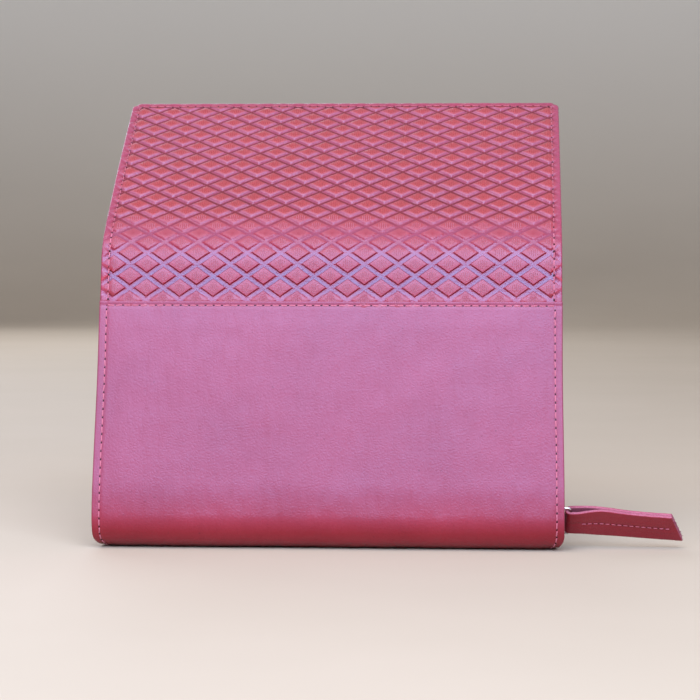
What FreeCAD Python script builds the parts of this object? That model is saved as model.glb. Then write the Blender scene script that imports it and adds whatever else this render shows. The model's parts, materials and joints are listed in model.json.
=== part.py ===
import FreeCAD, Part
import os
from math import cos, radians, sin, tan
from FreeCAD import Vector

# Zip-round leather notebook cover with a flap, standing on its rounded spine and leaning back.
# X runs along the spine, +Y goes from the plain back cover to the front cover, Z is up.
# The origin is the middle of the narrow flat that the spine rests on. Millimetres and degrees.

# ---- covers --------------------------------------------------------------------------------------
WIDTH = 228.0              # along the spine
PANEL_LENGTH = 132.4       # flat part of a cover, from the spine's curve to the fore edge
BACK_LEAN = 12.7           # from upright, back cover
WEDGE = 6.4                # the covers close up by this much towards the fore edge
SPINE_FLAT = 5.0           # width of the flat under the spine
SPINE_RADIUS_BACK = 14.6   # outer radius, back cover side
SPINE_RADIUS_FRONT = 16.0  # outer radius, front cover side
LEATHER = 1.6
BOARD = 1.2
LINING = 0.5
BOARD_MARGIN = 4.0
LINING_MARGIN = 2.0
SEAM_EDGE = 104.8          # top edge of the plain leather, along the back cover
SEAM_LAP = 8.0             # how far the embossed leather runs under it
FRONT_HINGE = 4.0          # where the front cover starts, along its own plane
HINGE_CLEAR = 0.3
FRONT_SETBACK = 2.6        # front cover's fore edge, short of the back cover's
FRONT_CORNER = 6.0

# ---- flap ----------------------------------------------------------------------------------------
BRIDGE_LEAN = 51.0         # from upright
BRIDGE_LENGTH = 20.6
FLAP_LEAN = 56.5
FLAP_LENGTH = 112.0
FLAP_INSET = 0.8           # flap is narrower than the covers by this much on each side
FLAP_CORNER = 5.0
BRIDGE_CLEAR = 0.25        # leather kept back from the first crease
FLAP_CLEAR = 0.5           # leather kept back from the second crease, which also bends outwards
MAGNET_RADIUS = 5.0
MAGNET_SPACING = 120.0
MAGNET_REACH = 100.0       # from the second crease to the flap's magnets
FLAP_MAGNET = 0.9          # thickness

# ---- zip -----------------------------------------------------------------------------------------
ZIP_INSET = 9.0            # middle of the tape, in from the covers' edges
ZIP_CORNER = 12.0
ZIP_START = -10.0          # lower end of the back cover's tape, along the zip's plane
FRONT_ZIP_START = 5.0      # the front half starts above the front cover's hinge, so that it can turn
TAPE = 0.8
COIL_WIDTH = 3.2
COIL_HEIGHT = 1.9
COIL_GAP = 0.8             # from the zip's plane to each half of the open coil
STOP_LENGTH = 1.8
SLIDER_AT = -1.0           # parked position of its middle, along the zip's plane
SLIDER_LENGTH = 12.0
SLIDER_WIDTH = 9.0
SLIDER_PLATE = 1.0
SLIDER_CLEAR = 0.3
POST_WIDTH = 1.0
POST_LENGTH = 3.0
BAIL_THICK = 1.1
BAIL_WIDTH = 1.6
BAIL_LENGTH = 8.0
BAIL_OPENING = 5.0

# ---- pull: tab, ring and leather strip -----------------------------------------------------------
TAB_REACH = 4.1            # from the tab's cross bar to its ring hole
TAB_THICK = 0.6
TAB_WIDTH = 3.6
TAB_BAR = 0.6              # cross bar radius
TAB_SLOT = 2.2             # width of the slot that the bail passes through
RING_WIRE = 0.5            # wire radius
RING_HOLE = 1.05           # radius of the tab's hole
RING_REACH = 4.75          # between its two long bars
RING_HALF = 8.8
RING_CORNER = 1.6
PULL_DROOP = 3.3           # below level
PULL_TILT = -40.0          # from upright, upper edge out towards -Y
PULL_WIDTH = 15.5
PULL_LENGTH = 55.0         # beyond the ring's outer bar
PULL_LAYER = 1.6
PULL_LOOP = 1.0            # inner radius of the loop round the ring
PULL_SLANT = 6.5           # how much shorter the top edge is

# ---- inside --------------------------------------------------------------------------------------
NOTEBOOK_WIDTH = 127.0     # 5 by 8 inch notebook
NOTEBOOK_HEIGHT = 203.0
NOTEBOOK_START = -4.3      # its spine edge, along the back cover
PAGES = 9.5
PAGE_INSET = 2.0           # pages are smaller than their cards
CARD = 0.9
POCKET_SHEET = 0.6
POCKET_RIM = 1.0
POCKET_CORNER = 10.0
CARD_CORNER = 9.0
CARD_START = -1.5          # the back card stops where the spine starts to curve
POCKET_DEPTH = 58.0
POCKET_END = 121.6         # fore edge end of the pockets, along the cover
CARD_PLAY = 0.15
SLOT_START = 64.5          # lower edge of the card slots, along the cover
SLOT_STEP = 14.0           # each card pocket shows this much above the next
SLOT_HEIGHT = 40.0
SLOT_WIDTH = 96.0
SLOT_SHEET = 0.5

# ---- worked out ----------------------------------------------------------------------------------
HALF = WIDTH / 2
MID_LEAN = BACK_LEAN - WEDGE / 2
FRONT_LEAN = BACK_LEAN - WEDGE
STACK = LEATHER + BOARD + LINING
CARD_FACE = STACK + CARD_PLAY + CARD
POCKET_FACE = CARD_FACE + CARD_PLAY
PAGE_FACE = POCKET_FACE + POCKET_SHEET + CARD_PLAY
SHEET_DEPTH = LEATHER + LINING
ORIGIN = Vector(0, 0, 0)
X_AXIS = Vector(1, 0, 0)
Y_AXIS = Vector(0, 1, 0)
Z_AXIS = Vector(0, 0, 1)


def along(lean):
    """Unit vector up a plane that leans back by this much."""
    return Vector(0, sin(radians(lean)), cos(radians(lean)))


def inward(lean):
    """Unit vector across that plane, towards +Y."""
    return Vector(0, cos(radians(lean)), -sin(radians(lean)))


# ---- reference points ----------------------------------------------------------------------------
BACK_CENTRE = Vector(0, -SPINE_FLAT / 2, SPINE_RADIUS_BACK)
FRONT_CENTRE = Vector(0, SPINE_FLAT / 2, SPINE_RADIUS_FRONT)
BACK_START = BACK_CENTRE - inward(BACK_LEAN) * SPINE_RADIUS_BACK
FRONT_START = FRONT_CENTRE + inward(FRONT_LEAN) * SPINE_RADIUS_FRONT
GAP = (FRONT_START - BACK_START).dot(inward(FRONT_LEAN))
MIDDLE = BACK_START + inward(MID_LEAN) * (GAP / (2 * cos(radians(WEDGE / 2))))


def back_point(distance, depth):
    """A point on the back cover: distance up from the spine's curve, depth in from its face."""
    return BACK_START + along(BACK_LEAN) * distance + inward(BACK_LEAN) * depth


def front_point(distance, depth):
    """The same point on the front cover, the mirror image about the middle plane."""
    point = back_point(distance, depth)
    across = inward(MID_LEAN)
    return point - across * (2 * (point - MIDDLE).dot(across))


def crease(corner, lean_below, lean_above):
    """Where the inner faces of two leaning sheets meet, under their outer corner."""
    below, above = inward(lean_below), inward(lean_above)
    return corner + (below + above) * (SHEET_DEPTH / (1 + below.dot(above)))


CORNER_1 = back_point(PANEL_LENGTH, 0)
CORNER_2 = CORNER_1 + along(BRIDGE_LEAN) * BRIDGE_LENGTH
CREASE_1 = crease(CORNER_1, BACK_LEAN, BRIDGE_LEAN)
CREASE_2 = crease(CORNER_2, BRIDGE_LEAN, FLAP_LEAN)
SETBACK = SHEET_DEPTH * tan(radians((BRIDGE_LEAN - BACK_LEAN) / 2)) + BRIDGE_CLEAR
FRONT_HINGE_POINT = front_point(FRONT_HINGE, 0)


# ---- placing -------------------------------------------------------------------------------------
def stand(shape, lean, origin):
    """Take a shape drawn upright at the origin to a plane that leans back from a point."""
    placed = shape.copy()
    placed.rotate(ORIGIN, X_AXIS, -lean)
    placed.translate(origin)
    return placed


def on_back(shape):
    return stand(shape, BACK_LEAN, BACK_START)


def on_middle(shape):
    return stand(shape, MID_LEAN, MIDDLE)


def mirrored(shape):
    """To the front cover's side of the middle plane."""
    return shape.mirror(MIDDLE, inward(MID_LEAN))


def on_front(shape):
    return mirrored(on_back(shape))


# ---- basic shapes --------------------------------------------------------------------------------
def block(x_low, x_high, y_low, y_high, z_low, z_high):
    return Part.makeBox(x_high - x_low, y_high - y_low, z_high - z_low, Vector(x_low, y_low, z_low))


def plate(half_width, low, high, outer, inner, corner=0.0):
    """An upright sheet with its two top corners rounded."""
    sheet = block(-half_width, half_width, outer, inner, low, high)
    if corner == 0:
        return sheet
    top_edges = [edge for edge in sheet.Edges
                 if abs(edge.tangentAt(edge.FirstParameter).y) > 0.9
                 and abs(edge.CenterOfMass.z - high) < 1e-6]
    return sheet.makeFillet(corner, top_edges)


def disc(x, z, radius, outer, inner):
    return Part.makeCylinder(radius, inner - outer, Vector(x, outer, z), Y_AXIS)


def arc_middle(centre, radius, side, elevation):
    lean = radians(elevation)
    return centre + Vector(0, side * cos(lean), sin(lean)) * radius


def spine_path(depth, back_end, front_end):
    """Edges of the cover's outline at one depth: back cover, round the spine, front cover."""
    back_radius = SPINE_RADIUS_BACK - depth
    front_radius = SPINE_RADIUS_FRONT - depth
    tangent = FRONT_CENTRE + inward(FRONT_LEAN) * front_radius
    low_back = Vector(0, -SPINE_FLAT / 2, depth)
    low_front = Vector(0, SPINE_FLAT / 2, depth)
    back_bulge = arc_middle(BACK_CENTRE, back_radius, -1, (BACK_LEAN - 90) / 2)
    front_bulge = arc_middle(FRONT_CENTRE, front_radius, 1, -(FRONT_LEAN + 90) / 2)
    return [Part.LineSegment(back_point(back_end, depth), back_point(0, depth)).toShape(),
            Part.Arc(back_point(0, depth), back_bulge, low_back).toShape(),
            Part.LineSegment(low_back, low_front).toShape(),
            Part.Arc(low_front, front_bulge, tangent).toShape(),
            Part.LineSegment(tangent, front_point(front_end, depth)).toShape()]


def wrap(half_width, outer, inner, back_end, front_end):
    """A sheet from the back cover, round the spine, to the front cover, between two depths."""
    ends = [Part.LineSegment(back_point(back_end, outer), back_point(back_end, inner)).toShape(),
            Part.LineSegment(front_point(front_end, outer), front_point(front_end, inner)).toShape()]
    outline = spine_path(outer, back_end, front_end) + spine_path(inner, back_end, front_end) + ends
    face = Part.Face(Part.Wire(Part.sortEdges(outline)[0]))
    face.translate(Vector(-half_width, 0, 0))
    return face.extrude(Vector(2 * half_width, 0, 0))


def cavity():
    """The space inside the linings, longer than the cover at both open ends."""
    outline = spine_path(STACK, PANEL_LENGTH, PANEL_LENGTH)
    top = Part.LineSegment(back_point(PANEL_LENGTH, STACK), front_point(PANEL_LENGTH, STACK)).toShape()
    face = Part.Face(Part.Wire(Part.sortEdges(outline + [top])[0]))
    face.translate(Vector(-WIDTH, 0, 0))
    return face.extrude(Vector(2 * WIDTH, 0, 0))


def zip_strip(thickness, low_depth, high_depth, start):
    """A strip that follows the zip up one side, along the fore edge and down the other side."""
    def outline(offset):
        top = PANEL_LENGTH - ZIP_INSET + offset
        return plate(HALF - ZIP_INSET + offset, start, top, low_depth, high_depth, ZIP_CORNER + offset)

    inner = outline(-thickness / 2)
    inner = inner.fuse(block(-HALF + ZIP_INSET + thickness / 2, HALF - ZIP_INSET - thickness / 2,
                             low_depth, high_depth, start - 1, start + 1))
    return outline(thickness / 2).cut(inner)


# ---- back cover and spine ------------------------------------------------------------------------
def back_leather():
    skived = block(-WIDTH, WIDTH, LEATHER / 2, 2 * LEATHER, SEAM_EDGE - SEAM_LAP, PANEL_LENGTH)
    return wrap(HALF, 0, LEATHER, SEAM_EDGE, FRONT_HINGE - HINGE_CLEAR).cut(on_back(skived))


def embossed_yoke():
    top = PANEL_LENGTH - SETBACK
    tongue = plate(HALF, SEAM_EDGE - SEAM_LAP, top, LEATHER / 2, LEATHER)
    face = plate(HALF, SEAM_EDGE, top, 0, LEATHER / 2)
    return on_back(tongue.fuse(face).removeSplitter())


def back_board():
    return on_back(plate(HALF - BOARD_MARGIN, FRONT_HINGE, PANEL_LENGTH - BOARD_MARGIN,
                         LEATHER, LEATHER + BOARD, FRONT_CORNER))


def spine_stay():
    return wrap(HALF - BOARD_MARGIN, LEATHER, LEATHER + BOARD, FRONT_HINGE - HINGE_CLEAR,
                FRONT_HINGE - HINGE_CLEAR)


def back_lining():
    return wrap(HALF - LINING_MARGIN, LEATHER + BOARD, STACK, PANEL_LENGTH - BOARD_MARGIN,
                FRONT_HINGE - HINGE_CLEAR)


def slip_pocket():
    """A sheet sewn down on three sides, open towards the spine, drawn on an upright cover."""
    half_width = NOTEBOOK_HEIGHT / 2 + CARD_PLAY
    start = POCKET_END - POCKET_DEPTH
    tray = plate(half_width + POCKET_RIM, start, POCKET_END + POCKET_RIM, STACK, POCKET_FACE + POCKET_SHEET,
                 POCKET_CORNER)
    return tray.cut(plate(half_width, start - 1, POCKET_END, STACK, POCKET_FACE, POCKET_CORNER - POCKET_RIM))


def cover_card(start):
    """A notebook's cover card in its pocket, drawn on an upright cover."""
    low = STACK + CARD_PLAY
    return plate(NOTEBOOK_HEIGHT / 2, start, POCKET_END - CARD_PLAY, low, low + CARD, CARD_CORNER)


def page_block():
    half_height = NOTEBOOK_HEIGHT / 2 - PAGE_INSET
    high = NOTEBOOK_START + NOTEBOOK_WIDTH - PAGE_INSET
    return on_back(plate(half_height, NOTEBOOK_START + CARD, high, PAGE_FACE, PAGE_FACE + PAGES, CARD_CORNER))


def notebook_spine():
    return on_back(block(-NOTEBOOK_HEIGHT / 2, NOTEBOOK_HEIGHT / 2, PAGE_FACE - CARD,
                         PAGE_FACE + PAGES, NOTEBOOK_START, NOTEBOOK_START + CARD))


# ---- front cover ---------------------------------------------------------------------------------
def front_leather():
    return on_front(plate(HALF, FRONT_HINGE, PANEL_LENGTH - FRONT_SETBACK, 0, LEATHER, FRONT_CORNER))


def magnet_centres(distance):
    return [(-MAGNET_SPACING / 2, distance), (MAGNET_SPACING / 2, distance)]


COVER_MAGNET_AT = PANEL_LENGTH - MAGNET_REACH


def front_board():
    board = plate(HALF - BOARD_MARGIN, FRONT_HINGE, PANEL_LENGTH - BOARD_MARGIN,
                  LEATHER, LEATHER + BOARD, FRONT_CORNER)
    for x, z in magnet_centres(COVER_MAGNET_AT):
        board = board.cut(disc(x, z, MAGNET_RADIUS, LEATHER, LEATHER + BOARD))
    return on_front(board)


def front_lining():
    return on_front(plate(HALF - LINING_MARGIN, FRONT_HINGE, PANEL_LENGTH - FRONT_SETBACK - LINING_MARGIN,
                          LEATHER + BOARD, STACK, FRONT_CORNER))


def cover_magnets():
    discs = [disc(x, z, MAGNET_RADIUS, LEATHER, LEATHER + BOARD) for x, z in magnet_centres(COVER_MAGNET_AT)]
    return on_front(Part.makeCompound(discs))


def card_pocket(step):
    """A card slot sewn on the front slip pocket; the lower one lies on top of the upper one."""
    base = POCKET_FACE + POCKET_SHEET + step * SLOT_SHEET
    high = SLOT_START + SLOT_HEIGHT - step * SLOT_STEP
    return on_front(block(-SLOT_WIDTH / 2, SLOT_WIDTH / 2, base, base + SLOT_SHEET, SLOT_START, high))


# ---- bridge and flap -----------------------------------------------------------------------------
def bridge_sheet(outer, inner):
    return stand(plate(HALF, SETBACK, BRIDGE_LENGTH - FLAP_CLEAR, outer, inner), BRIDGE_LEAN, CORNER_1)


def flap_sheet(outer, inner):
    sheet = plate(HALF - FLAP_INSET, FLAP_CLEAR, FLAP_LENGTH, outer, inner, FLAP_CORNER)
    return sheet


def on_flap(shape):
    return stand(shape, FLAP_LEAN, CORNER_2)


def flap_magnet_discs():
    return [disc(x, z, MAGNET_RADIUS, LEATHER - FLAP_MAGNET, LEATHER) for x, z in magnet_centres(MAGNET_REACH)]


def flap_leather():
    return on_flap(flap_sheet(0, LEATHER).cut(Part.makeCompound(flap_magnet_discs())))


# ---- zip -----------------------------------------------------------------------------------------
def zip_tape(start):
    depth = SPINE_RADIUS_BACK + SPINE_RADIUS_FRONT
    return on_middle(zip_strip(TAPE, -depth, -COIL_GAP - COIL_HEIGHT, start))


def zip_coil(start):
    return on_middle(zip_strip(COIL_WIDTH, -COIL_GAP - COIL_HEIGHT, -COIL_GAP, start))


def zip_stops():
    stops = []
    for side in (-1, 1):
        centre = side * (HALF - ZIP_INSET)
        clip = block(centre - COIL_WIDTH / 2, centre + COIL_WIDTH / 2, -COIL_GAP - COIL_HEIGHT, -COIL_GAP,
                     ZIP_START, ZIP_START + STOP_LENGTH)
        stops.append(clip)
    return on_middle(Part.makeCompound(stops))


# ---- slider and pull -----------------------------------------------------------------------------
SLIDER_X = HALF - ZIP_INSET
PLATE_LOW = COIL_WIDTH / 2 + SLIDER_CLEAR
PLATE_HIGH = PLATE_LOW + SLIDER_PLATE
BAIL_LOW = PLATE_HIGH + 2 * TAB_BAR + 2 * SLIDER_CLEAR
BAR_X = SLIDER_X + PLATE_HIGH + TAB_BAR + SLIDER_CLEAR


def slider_body():
    half_length, half_width = SLIDER_LENGTH / 2, SLIDER_WIDTH / 2
    inner = block(-PLATE_HIGH, -PLATE_LOW, -half_width, half_width, -half_length, half_length)
    outer = block(PLATE_LOW, PLATE_HIGH, -half_width, half_width, -half_length, half_length)
    post = block(-PLATE_LOW, PLATE_LOW, -POST_WIDTH / 2, POST_WIDTH / 2, half_length - POST_LENGTH, half_length)
    arch = block(PLATE_HIGH, BAIL_LOW + BAIL_THICK, -BAIL_WIDTH / 2, BAIL_WIDTH / 2,
                 -BAIL_LENGTH / 2, BAIL_LENGTH / 2)
    opening = block(PLATE_HIGH, BAIL_LOW, -BAIL_WIDTH, BAIL_WIDTH, -BAIL_OPENING / 2, BAIL_OPENING / 2)
    body = inner.fuse(post).fuse(outer).fuse(arch.cut(opening)).removeSplitter()
    body.translate(Vector(SLIDER_X, 0, SLIDER_AT))
    return on_middle(body)


def tab_direction():
    """Unit vector out along the tab, drooping in the zip's plane."""
    return X_AXIS * cos(radians(PULL_DROOP)) - along(MID_LEAN) * sin(radians(PULL_DROOP))


def pull_direction():
    return Vector(cos(radians(PULL_DROOP)), 0, -sin(radians(PULL_DROOP)))


CROSS_BAR = MIDDLE + X_AXIS * BAR_X + along(MID_LEAN) * SLIDER_AT
RING_INNER = CROSS_BAR + tab_direction() * TAB_REACH
RING_OUTER = RING_INNER + pull_direction() * RING_REACH


def pull_tab():
    """A flat tab with a slot, which leaves a round cross bar under the slider's arch."""
    slot_end = BAIL_LOW + BAIL_THICK - PLATE_HIGH - TAB_BAR + SLIDER_CLEAR
    half_width = TAB_WIDTH / 2
    body = block(0, TAB_REACH, -half_width, half_width, -TAB_THICK / 2, TAB_THICK / 2)
    eye = Part.makeCylinder(half_width, TAB_THICK, Vector(TAB_REACH, 0, -TAB_THICK / 2), Z_AXIS)
    body = body.fuse(eye).cut(block(-1, slot_end, -TAB_SLOT / 2, TAB_SLOT / 2, -1, 1))
    bar = Part.makeCylinder(TAB_BAR, TAB_WIDTH, Vector(0, -half_width, 0), Y_AXIS)
    hole = Part.makeCylinder(RING_HOLE, 2 * TAB_THICK, Vector(TAB_REACH, 0, -TAB_THICK), Z_AXIS)
    tab = body.fuse(bar).cut(hole).removeSplitter()
    tab.rotate(ORIGIN, Y_AXIS, PULL_DROOP)
    return stand(tab, MID_LEAN, CROSS_BAR)


def on_pull(shape):
    """From a strip drawn along +X and upright, to its drooping and tilted place."""
    placed = shape.copy()
    placed.rotate(ORIGIN, X_AXIS, -PULL_TILT)
    placed.rotate(ORIGIN, Y_AXIS, PULL_DROOP)
    placed.translate(RING_OUTER)
    return placed


def pull_ring():
    """A wire bent into a rounded rectangle; its outer bar lies on the strip's own origin."""
    low, high, bend = -RING_REACH, RING_HALF, RING_CORNER
    middle = bend * (1 - cos(radians(45)))
    edges = []
    for up in (1, -1):
        outer = Vector(0, 0, up * (high - bend))
        edges.append(Part.LineSegment(ORIGIN, outer).toShape())
        outer_top, inner_top = Vector(-bend, 0, up * high), Vector(low + bend, 0, up * high)
        edges.append(Part.Arc(outer, Vector(-middle, 0, up * (high - middle)), outer_top).toShape())
        edges.append(Part.LineSegment(outer_top, inner_top).toShape())
        inner = Vector(low, 0, up * (high - bend))
        edges.append(Part.Arc(inner_top, Vector(low + middle, 0, up * (high - middle)), inner).toShape())
    edges.append(Part.LineSegment(Vector(low, 0, high - bend), Vector(low, 0, bend - high)).toShape())
    path = Part.Wire(Part.sortEdges(edges)[0])
    start = path.OrderedVertexes[0].Point
    direction = path.OrderedEdges[0].tangentAt(path.OrderedEdges[0].FirstParameter)
    section = Part.Wire(Part.makeCircle(RING_WIRE, start, direction))
    return on_pull(path.makePipeShell([section], True, False))


def leather_puller():
    """A strip folded double round the ring and sewn, cut at a slant."""
    half_width, radius = PULL_WIDTH / 2, PULL_LOOP + PULL_LAYER
    strip = block(0, PULL_LENGTH, -PULL_LAYER, PULL_LAYER, -half_width, half_width)
    loop = Part.makeCylinder(radius, PULL_WIDTH, Vector(0, 0, -half_width), Z_AXIS)
    eye = Part.makeCylinder(PULL_LOOP, 2 * PULL_WIDTH, Vector(0, 0, -PULL_WIDTH), Z_AXIS)
    corners = [Vector(PULL_LENGTH + 1, -radius, -half_width), Vector(PULL_LENGTH + 1, -radius, half_width + 1),
               Vector(PULL_LENGTH - PULL_SLANT, -radius, half_width + 1), Vector(PULL_LENGTH, -radius, -half_width)]
    offcut = Part.Face(Part.makePolygon(corners + [corners[0]])).extrude(Vector(0, 2 * radius, 0))
    return on_pull(strip.fuse(loop).cut(eye).cut(offcut).removeSplitter())


# ---- all the nodes -------------------------------------------------------------------------------
NODES = {
    "back_leather": back_leather(),
    "embossed_yoke": embossed_yoke(),
    "back_board": back_board(),
    "spine_stay": spine_stay(),
    "back_lining": back_lining(),
    "back_slip_pocket": on_back(slip_pocket()),
    "notebook_back_card": on_back(cover_card(CARD_START)),
    "page_block": page_block(),
    "notebook_spine": notebook_spine(),
    "zip_tape_back": zip_tape(ZIP_START).common(cavity()),
    "zip_coil_back": zip_coil(ZIP_START + STOP_LENGTH),
    "zip_stops": zip_stops(),
    "front_leather": front_leather(),
    "front_board": front_board(),
    "front_lining": front_lining(),
    "front_slip_pocket": on_front(slip_pocket()),
    "notebook_front_card": on_front(cover_card(FRONT_HINGE)),
    "cover_magnets": cover_magnets(),
    "card_pocket_upper": card_pocket(0),
    "card_pocket_lower": card_pocket(1),
    "zip_tape_front": mirrored(zip_tape(FRONT_ZIP_START)).common(cavity()),
    "zip_coil_front": mirrored(zip_coil(FRONT_ZIP_START)),
    "bridge_leather": bridge_sheet(0, LEATHER),
    "bridge_lining": bridge_sheet(LEATHER, SHEET_DEPTH),
    "flap_leather": flap_leather(),
    "flap_lining": on_flap(flap_sheet(LEATHER, SHEET_DEPTH)),
    "flap_magnets": on_flap(Part.makeCompound(flap_magnet_discs())),
    "slider_body": slider_body(),
    "pull_tab": pull_tab(),
    "pull_ring": pull_ring(),
    "leather_puller": leather_puller(),
}

os.makedirs("parts", exist_ok=True)
for name, shape in NODES.items():
    shape.exportStep(f"parts/{name}.step")
    box = shape.BoundBox
    print(f"{name:22s} valid {shape.isValid()} solids {len(shape.Solids)} volume {shape.Volume:9.1f} "
          f"y {box.YMin:7.2f} {box.YMax:7.2f} z {box.ZMin:7.2f} {box.ZMax:7.2f}")
for name, point in (("crease 1", CREASE_1), ("crease 2", CREASE_2), ("front hinge", FRONT_HINGE_POINT),
                    ("cross bar", CROSS_BAR), ("ring inner", RING_INNER), ("ring outer", RING_OUTER)):
    print(f"{name:12s} {point.x:8.3f} {point.y:8.3f} {point.z:8.3f}")
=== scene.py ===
import json
import math
import bmesh
import bpy
import numpy as np
from mathutils import Euler, Matrix, Vector, noise


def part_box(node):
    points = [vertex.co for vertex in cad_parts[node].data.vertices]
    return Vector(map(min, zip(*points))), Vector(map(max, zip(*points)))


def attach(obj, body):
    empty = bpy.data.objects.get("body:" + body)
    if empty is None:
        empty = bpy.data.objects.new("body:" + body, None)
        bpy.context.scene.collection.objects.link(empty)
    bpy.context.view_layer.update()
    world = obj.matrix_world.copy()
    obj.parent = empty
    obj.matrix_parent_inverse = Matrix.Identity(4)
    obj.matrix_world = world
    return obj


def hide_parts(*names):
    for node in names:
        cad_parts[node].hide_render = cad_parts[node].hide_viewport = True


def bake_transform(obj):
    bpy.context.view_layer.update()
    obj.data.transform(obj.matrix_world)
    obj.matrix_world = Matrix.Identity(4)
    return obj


# A zip-round leather notebook cover seen from its back, standing on its spine with the flap open.
# Pieces are drawn flat in millimetres: x along the spine, e the distance along the cover's side
# outline, and h the height above its outer face. An Outline then bends them into place.

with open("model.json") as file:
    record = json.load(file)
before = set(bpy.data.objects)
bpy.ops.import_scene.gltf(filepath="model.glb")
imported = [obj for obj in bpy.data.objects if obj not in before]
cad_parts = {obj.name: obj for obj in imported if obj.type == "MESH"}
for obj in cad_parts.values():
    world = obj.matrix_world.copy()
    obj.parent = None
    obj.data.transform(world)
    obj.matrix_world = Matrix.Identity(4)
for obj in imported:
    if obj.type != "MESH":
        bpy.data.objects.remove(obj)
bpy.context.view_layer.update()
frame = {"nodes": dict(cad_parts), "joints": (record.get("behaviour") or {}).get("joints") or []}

MM = 0.001
UV = MM * 10                  # the hides' UV maps take 100 mm as 1
HINGES = {joint["name"]: np.array(joint["pos_m"]) / MM for joint in frame["joints"] if "pos_m" in joint}

# ---- driving dimensions, the same as the CAD model's
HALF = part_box("back_leather")[1].x / MM
PANEL_LENGTH = 132.4
SEAM_EDGE = 104.8
BACK_LEAN, FRONT_LEAN, MID_LEAN = 12.7, 6.3, 9.5
SPINE_FLAT, SPINE_RADIUS_BACK, SPINE_RADIUS_FRONT = 5.0, 14.6, 16.0
BRIDGE_LEAN, BRIDGE_LENGTH = 51.0, 20.6
FLAP_LEAN, FLAP_LENGTH = 56.5, 112.0
LEATHER, BOARD, LINING = 1.6, 1.2, 0.5
STACK = LEATHER + BOARD + LINING
FRONT_SETBACK = 2.6
BELLY_AT, BELLY_LEAN, BELLY_RADIUS = 12.0, 8.7, 90.0   # the hide starts to turn softly above the spine
CREASE_1_RADIUS, CREASE_2_RADIUS, FLAP_CURVE_RADIUS = 24.0, 60.0, 400.0
FLAP_BEND_AT, FLAP_BEND = 52.0, 1.4      # the flap is a little convex
EMBOSS_INSET = 0.5

# ---- embossing and sewing
PITCH = 16.53             # diamonds across
PERIOD = 11.95            # two rows of diamonds along
FIRST_ROW = 6.6           # first full row, beyond the seam edge
PAD_EDGE, PAD_TOP = 0.10, 0.16   # share of a cell where the bevel starts and ends
BAND_DEPTH, PAD_HEIGHT = 0.55, 0.35
STITCH = 4.1
STITCH_INSET = 4.0
SEAM_STITCH = 2.3
THREAD = 0.31


# ---- outlines
def along(lean):
    return np.array([math.sin(math.radians(lean)), math.cos(math.radians(lean))])


def inward(lean):
    return np.array([math.cos(math.radians(lean)), -math.sin(math.radians(lean))])


def rounded(corners, radii, step=0.25):
    """Points of a line through corners (y, z), with each inner corner rounded by an arc."""
    points = [np.array(corners[0], float)]
    for before, corner, after, radius in zip(corners, corners[1:], corners[2:], radii):
        before, corner, after = (np.array(p, float) for p in (before, corner, after))
        a = (before - corner) / np.linalg.norm(before - corner)
        b = (after - corner) / np.linalg.norm(after - corner)
        opening = math.acos(np.clip(a @ b, -1, 1))
        run = radius / math.tan(opening / 2)
        bisector = (a + b) / np.linalg.norm(a + b)
        centre = corner + bisector * (radius / math.sin(opening / 2))
        start, end = corner + a * run - centre, corner + b * run - centre
        turn = math.atan2(start[0] * end[1] - start[1] * end[0], start @ end)
        for t in np.linspace(0, 1, max(3, int(abs(turn) * radius / step))):
            c, s = math.cos(turn * t), math.sin(turn * t)
            points.append(centre + np.array([c * start[0] - s * start[1], s * start[0] + c * start[1]]))
    points.append(np.array(corners[-1], float))
    return np.array(points)


TANGENT_REACH = 0.4


class Outline:
    """A side-view curve: bends flat (x, e, h) points into place, with the outer face on one side."""

    def __init__(self, points, side):
        lengths = np.r_[0, np.cumsum(np.linalg.norm(np.diff(points, axis=0), axis=1))]
        keep = np.r_[True, np.diff(lengths) > 1e-6]
        self.at, self.points = lengths[keep], points[keep]
        self.length = self.at[-1]
        self.side = side

    def on(self, e):
        """The curve's (y, z) places at distances along it, held at its ends."""
        e = np.clip(e, 0, self.length)
        return np.array([np.interp(e, self.at, values) for values in self.points.T])

    def spot(self, e):
        """Places and outward directions (y, z, ny, nz); past an end the curve runs on straight."""
        e = np.asarray(e, float)
        inside = np.clip(e, 0, self.length)
        y, z = self.on(inside)
        ty, tz = self.on(inside + TANGENT_REACH) - self.on(inside - TANGENT_REACH)
        size = np.hypot(ty, tz)
        ty, tz = ty / size, tz / size
        beyond = e - inside
        return y + ty * beyond, z + tz * beyond, -self.side * tz, self.side * ty

    def bend(self, x, e, h):
        y, z, ny, nz = self.spot(e)
        return np.stack([x, y + ny * h, z + nz * h], axis=-1)


BACK_START = (np.array([-SPINE_FLAT / 2, SPINE_RADIUS_BACK]) - inward(BACK_LEAN) * SPINE_RADIUS_BACK)
FRONT_TANGENT = (np.array([SPINE_FLAT / 2, SPINE_RADIUS_FRONT]) + inward(FRONT_LEAN) * SPINE_RADIUS_FRONT)
BELLY = BACK_START + along(BACK_LEAN) * BELLY_AT
BACK_FOOT = BELLY - along(BELLY_LEAN) * (BELLY[1] / along(BELLY_LEAN)[1])
FRONT_FOOT = FRONT_TANGENT - along(FRONT_LEAN) * (FRONT_TANGENT[1] / along(FRONT_LEAN)[1])
GAP = (FRONT_TANGENT - BACK_START) @ inward(FRONT_LEAN)
MIDDLE = BACK_START + inward(MID_LEAN) * (GAP / (2 * math.cos(math.radians(BACK_LEAN - MID_LEAN))))


def back_point(distance, depth=0.0):
    return BACK_START + along(BACK_LEAN) * distance + inward(BACK_LEAN) * depth


def front_point(distance, depth=0.0):
    point = back_point(distance, depth)
    return point - inward(MID_LEAN) * (2 * (point - MIDDLE) @ inward(MID_LEAN))


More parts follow.
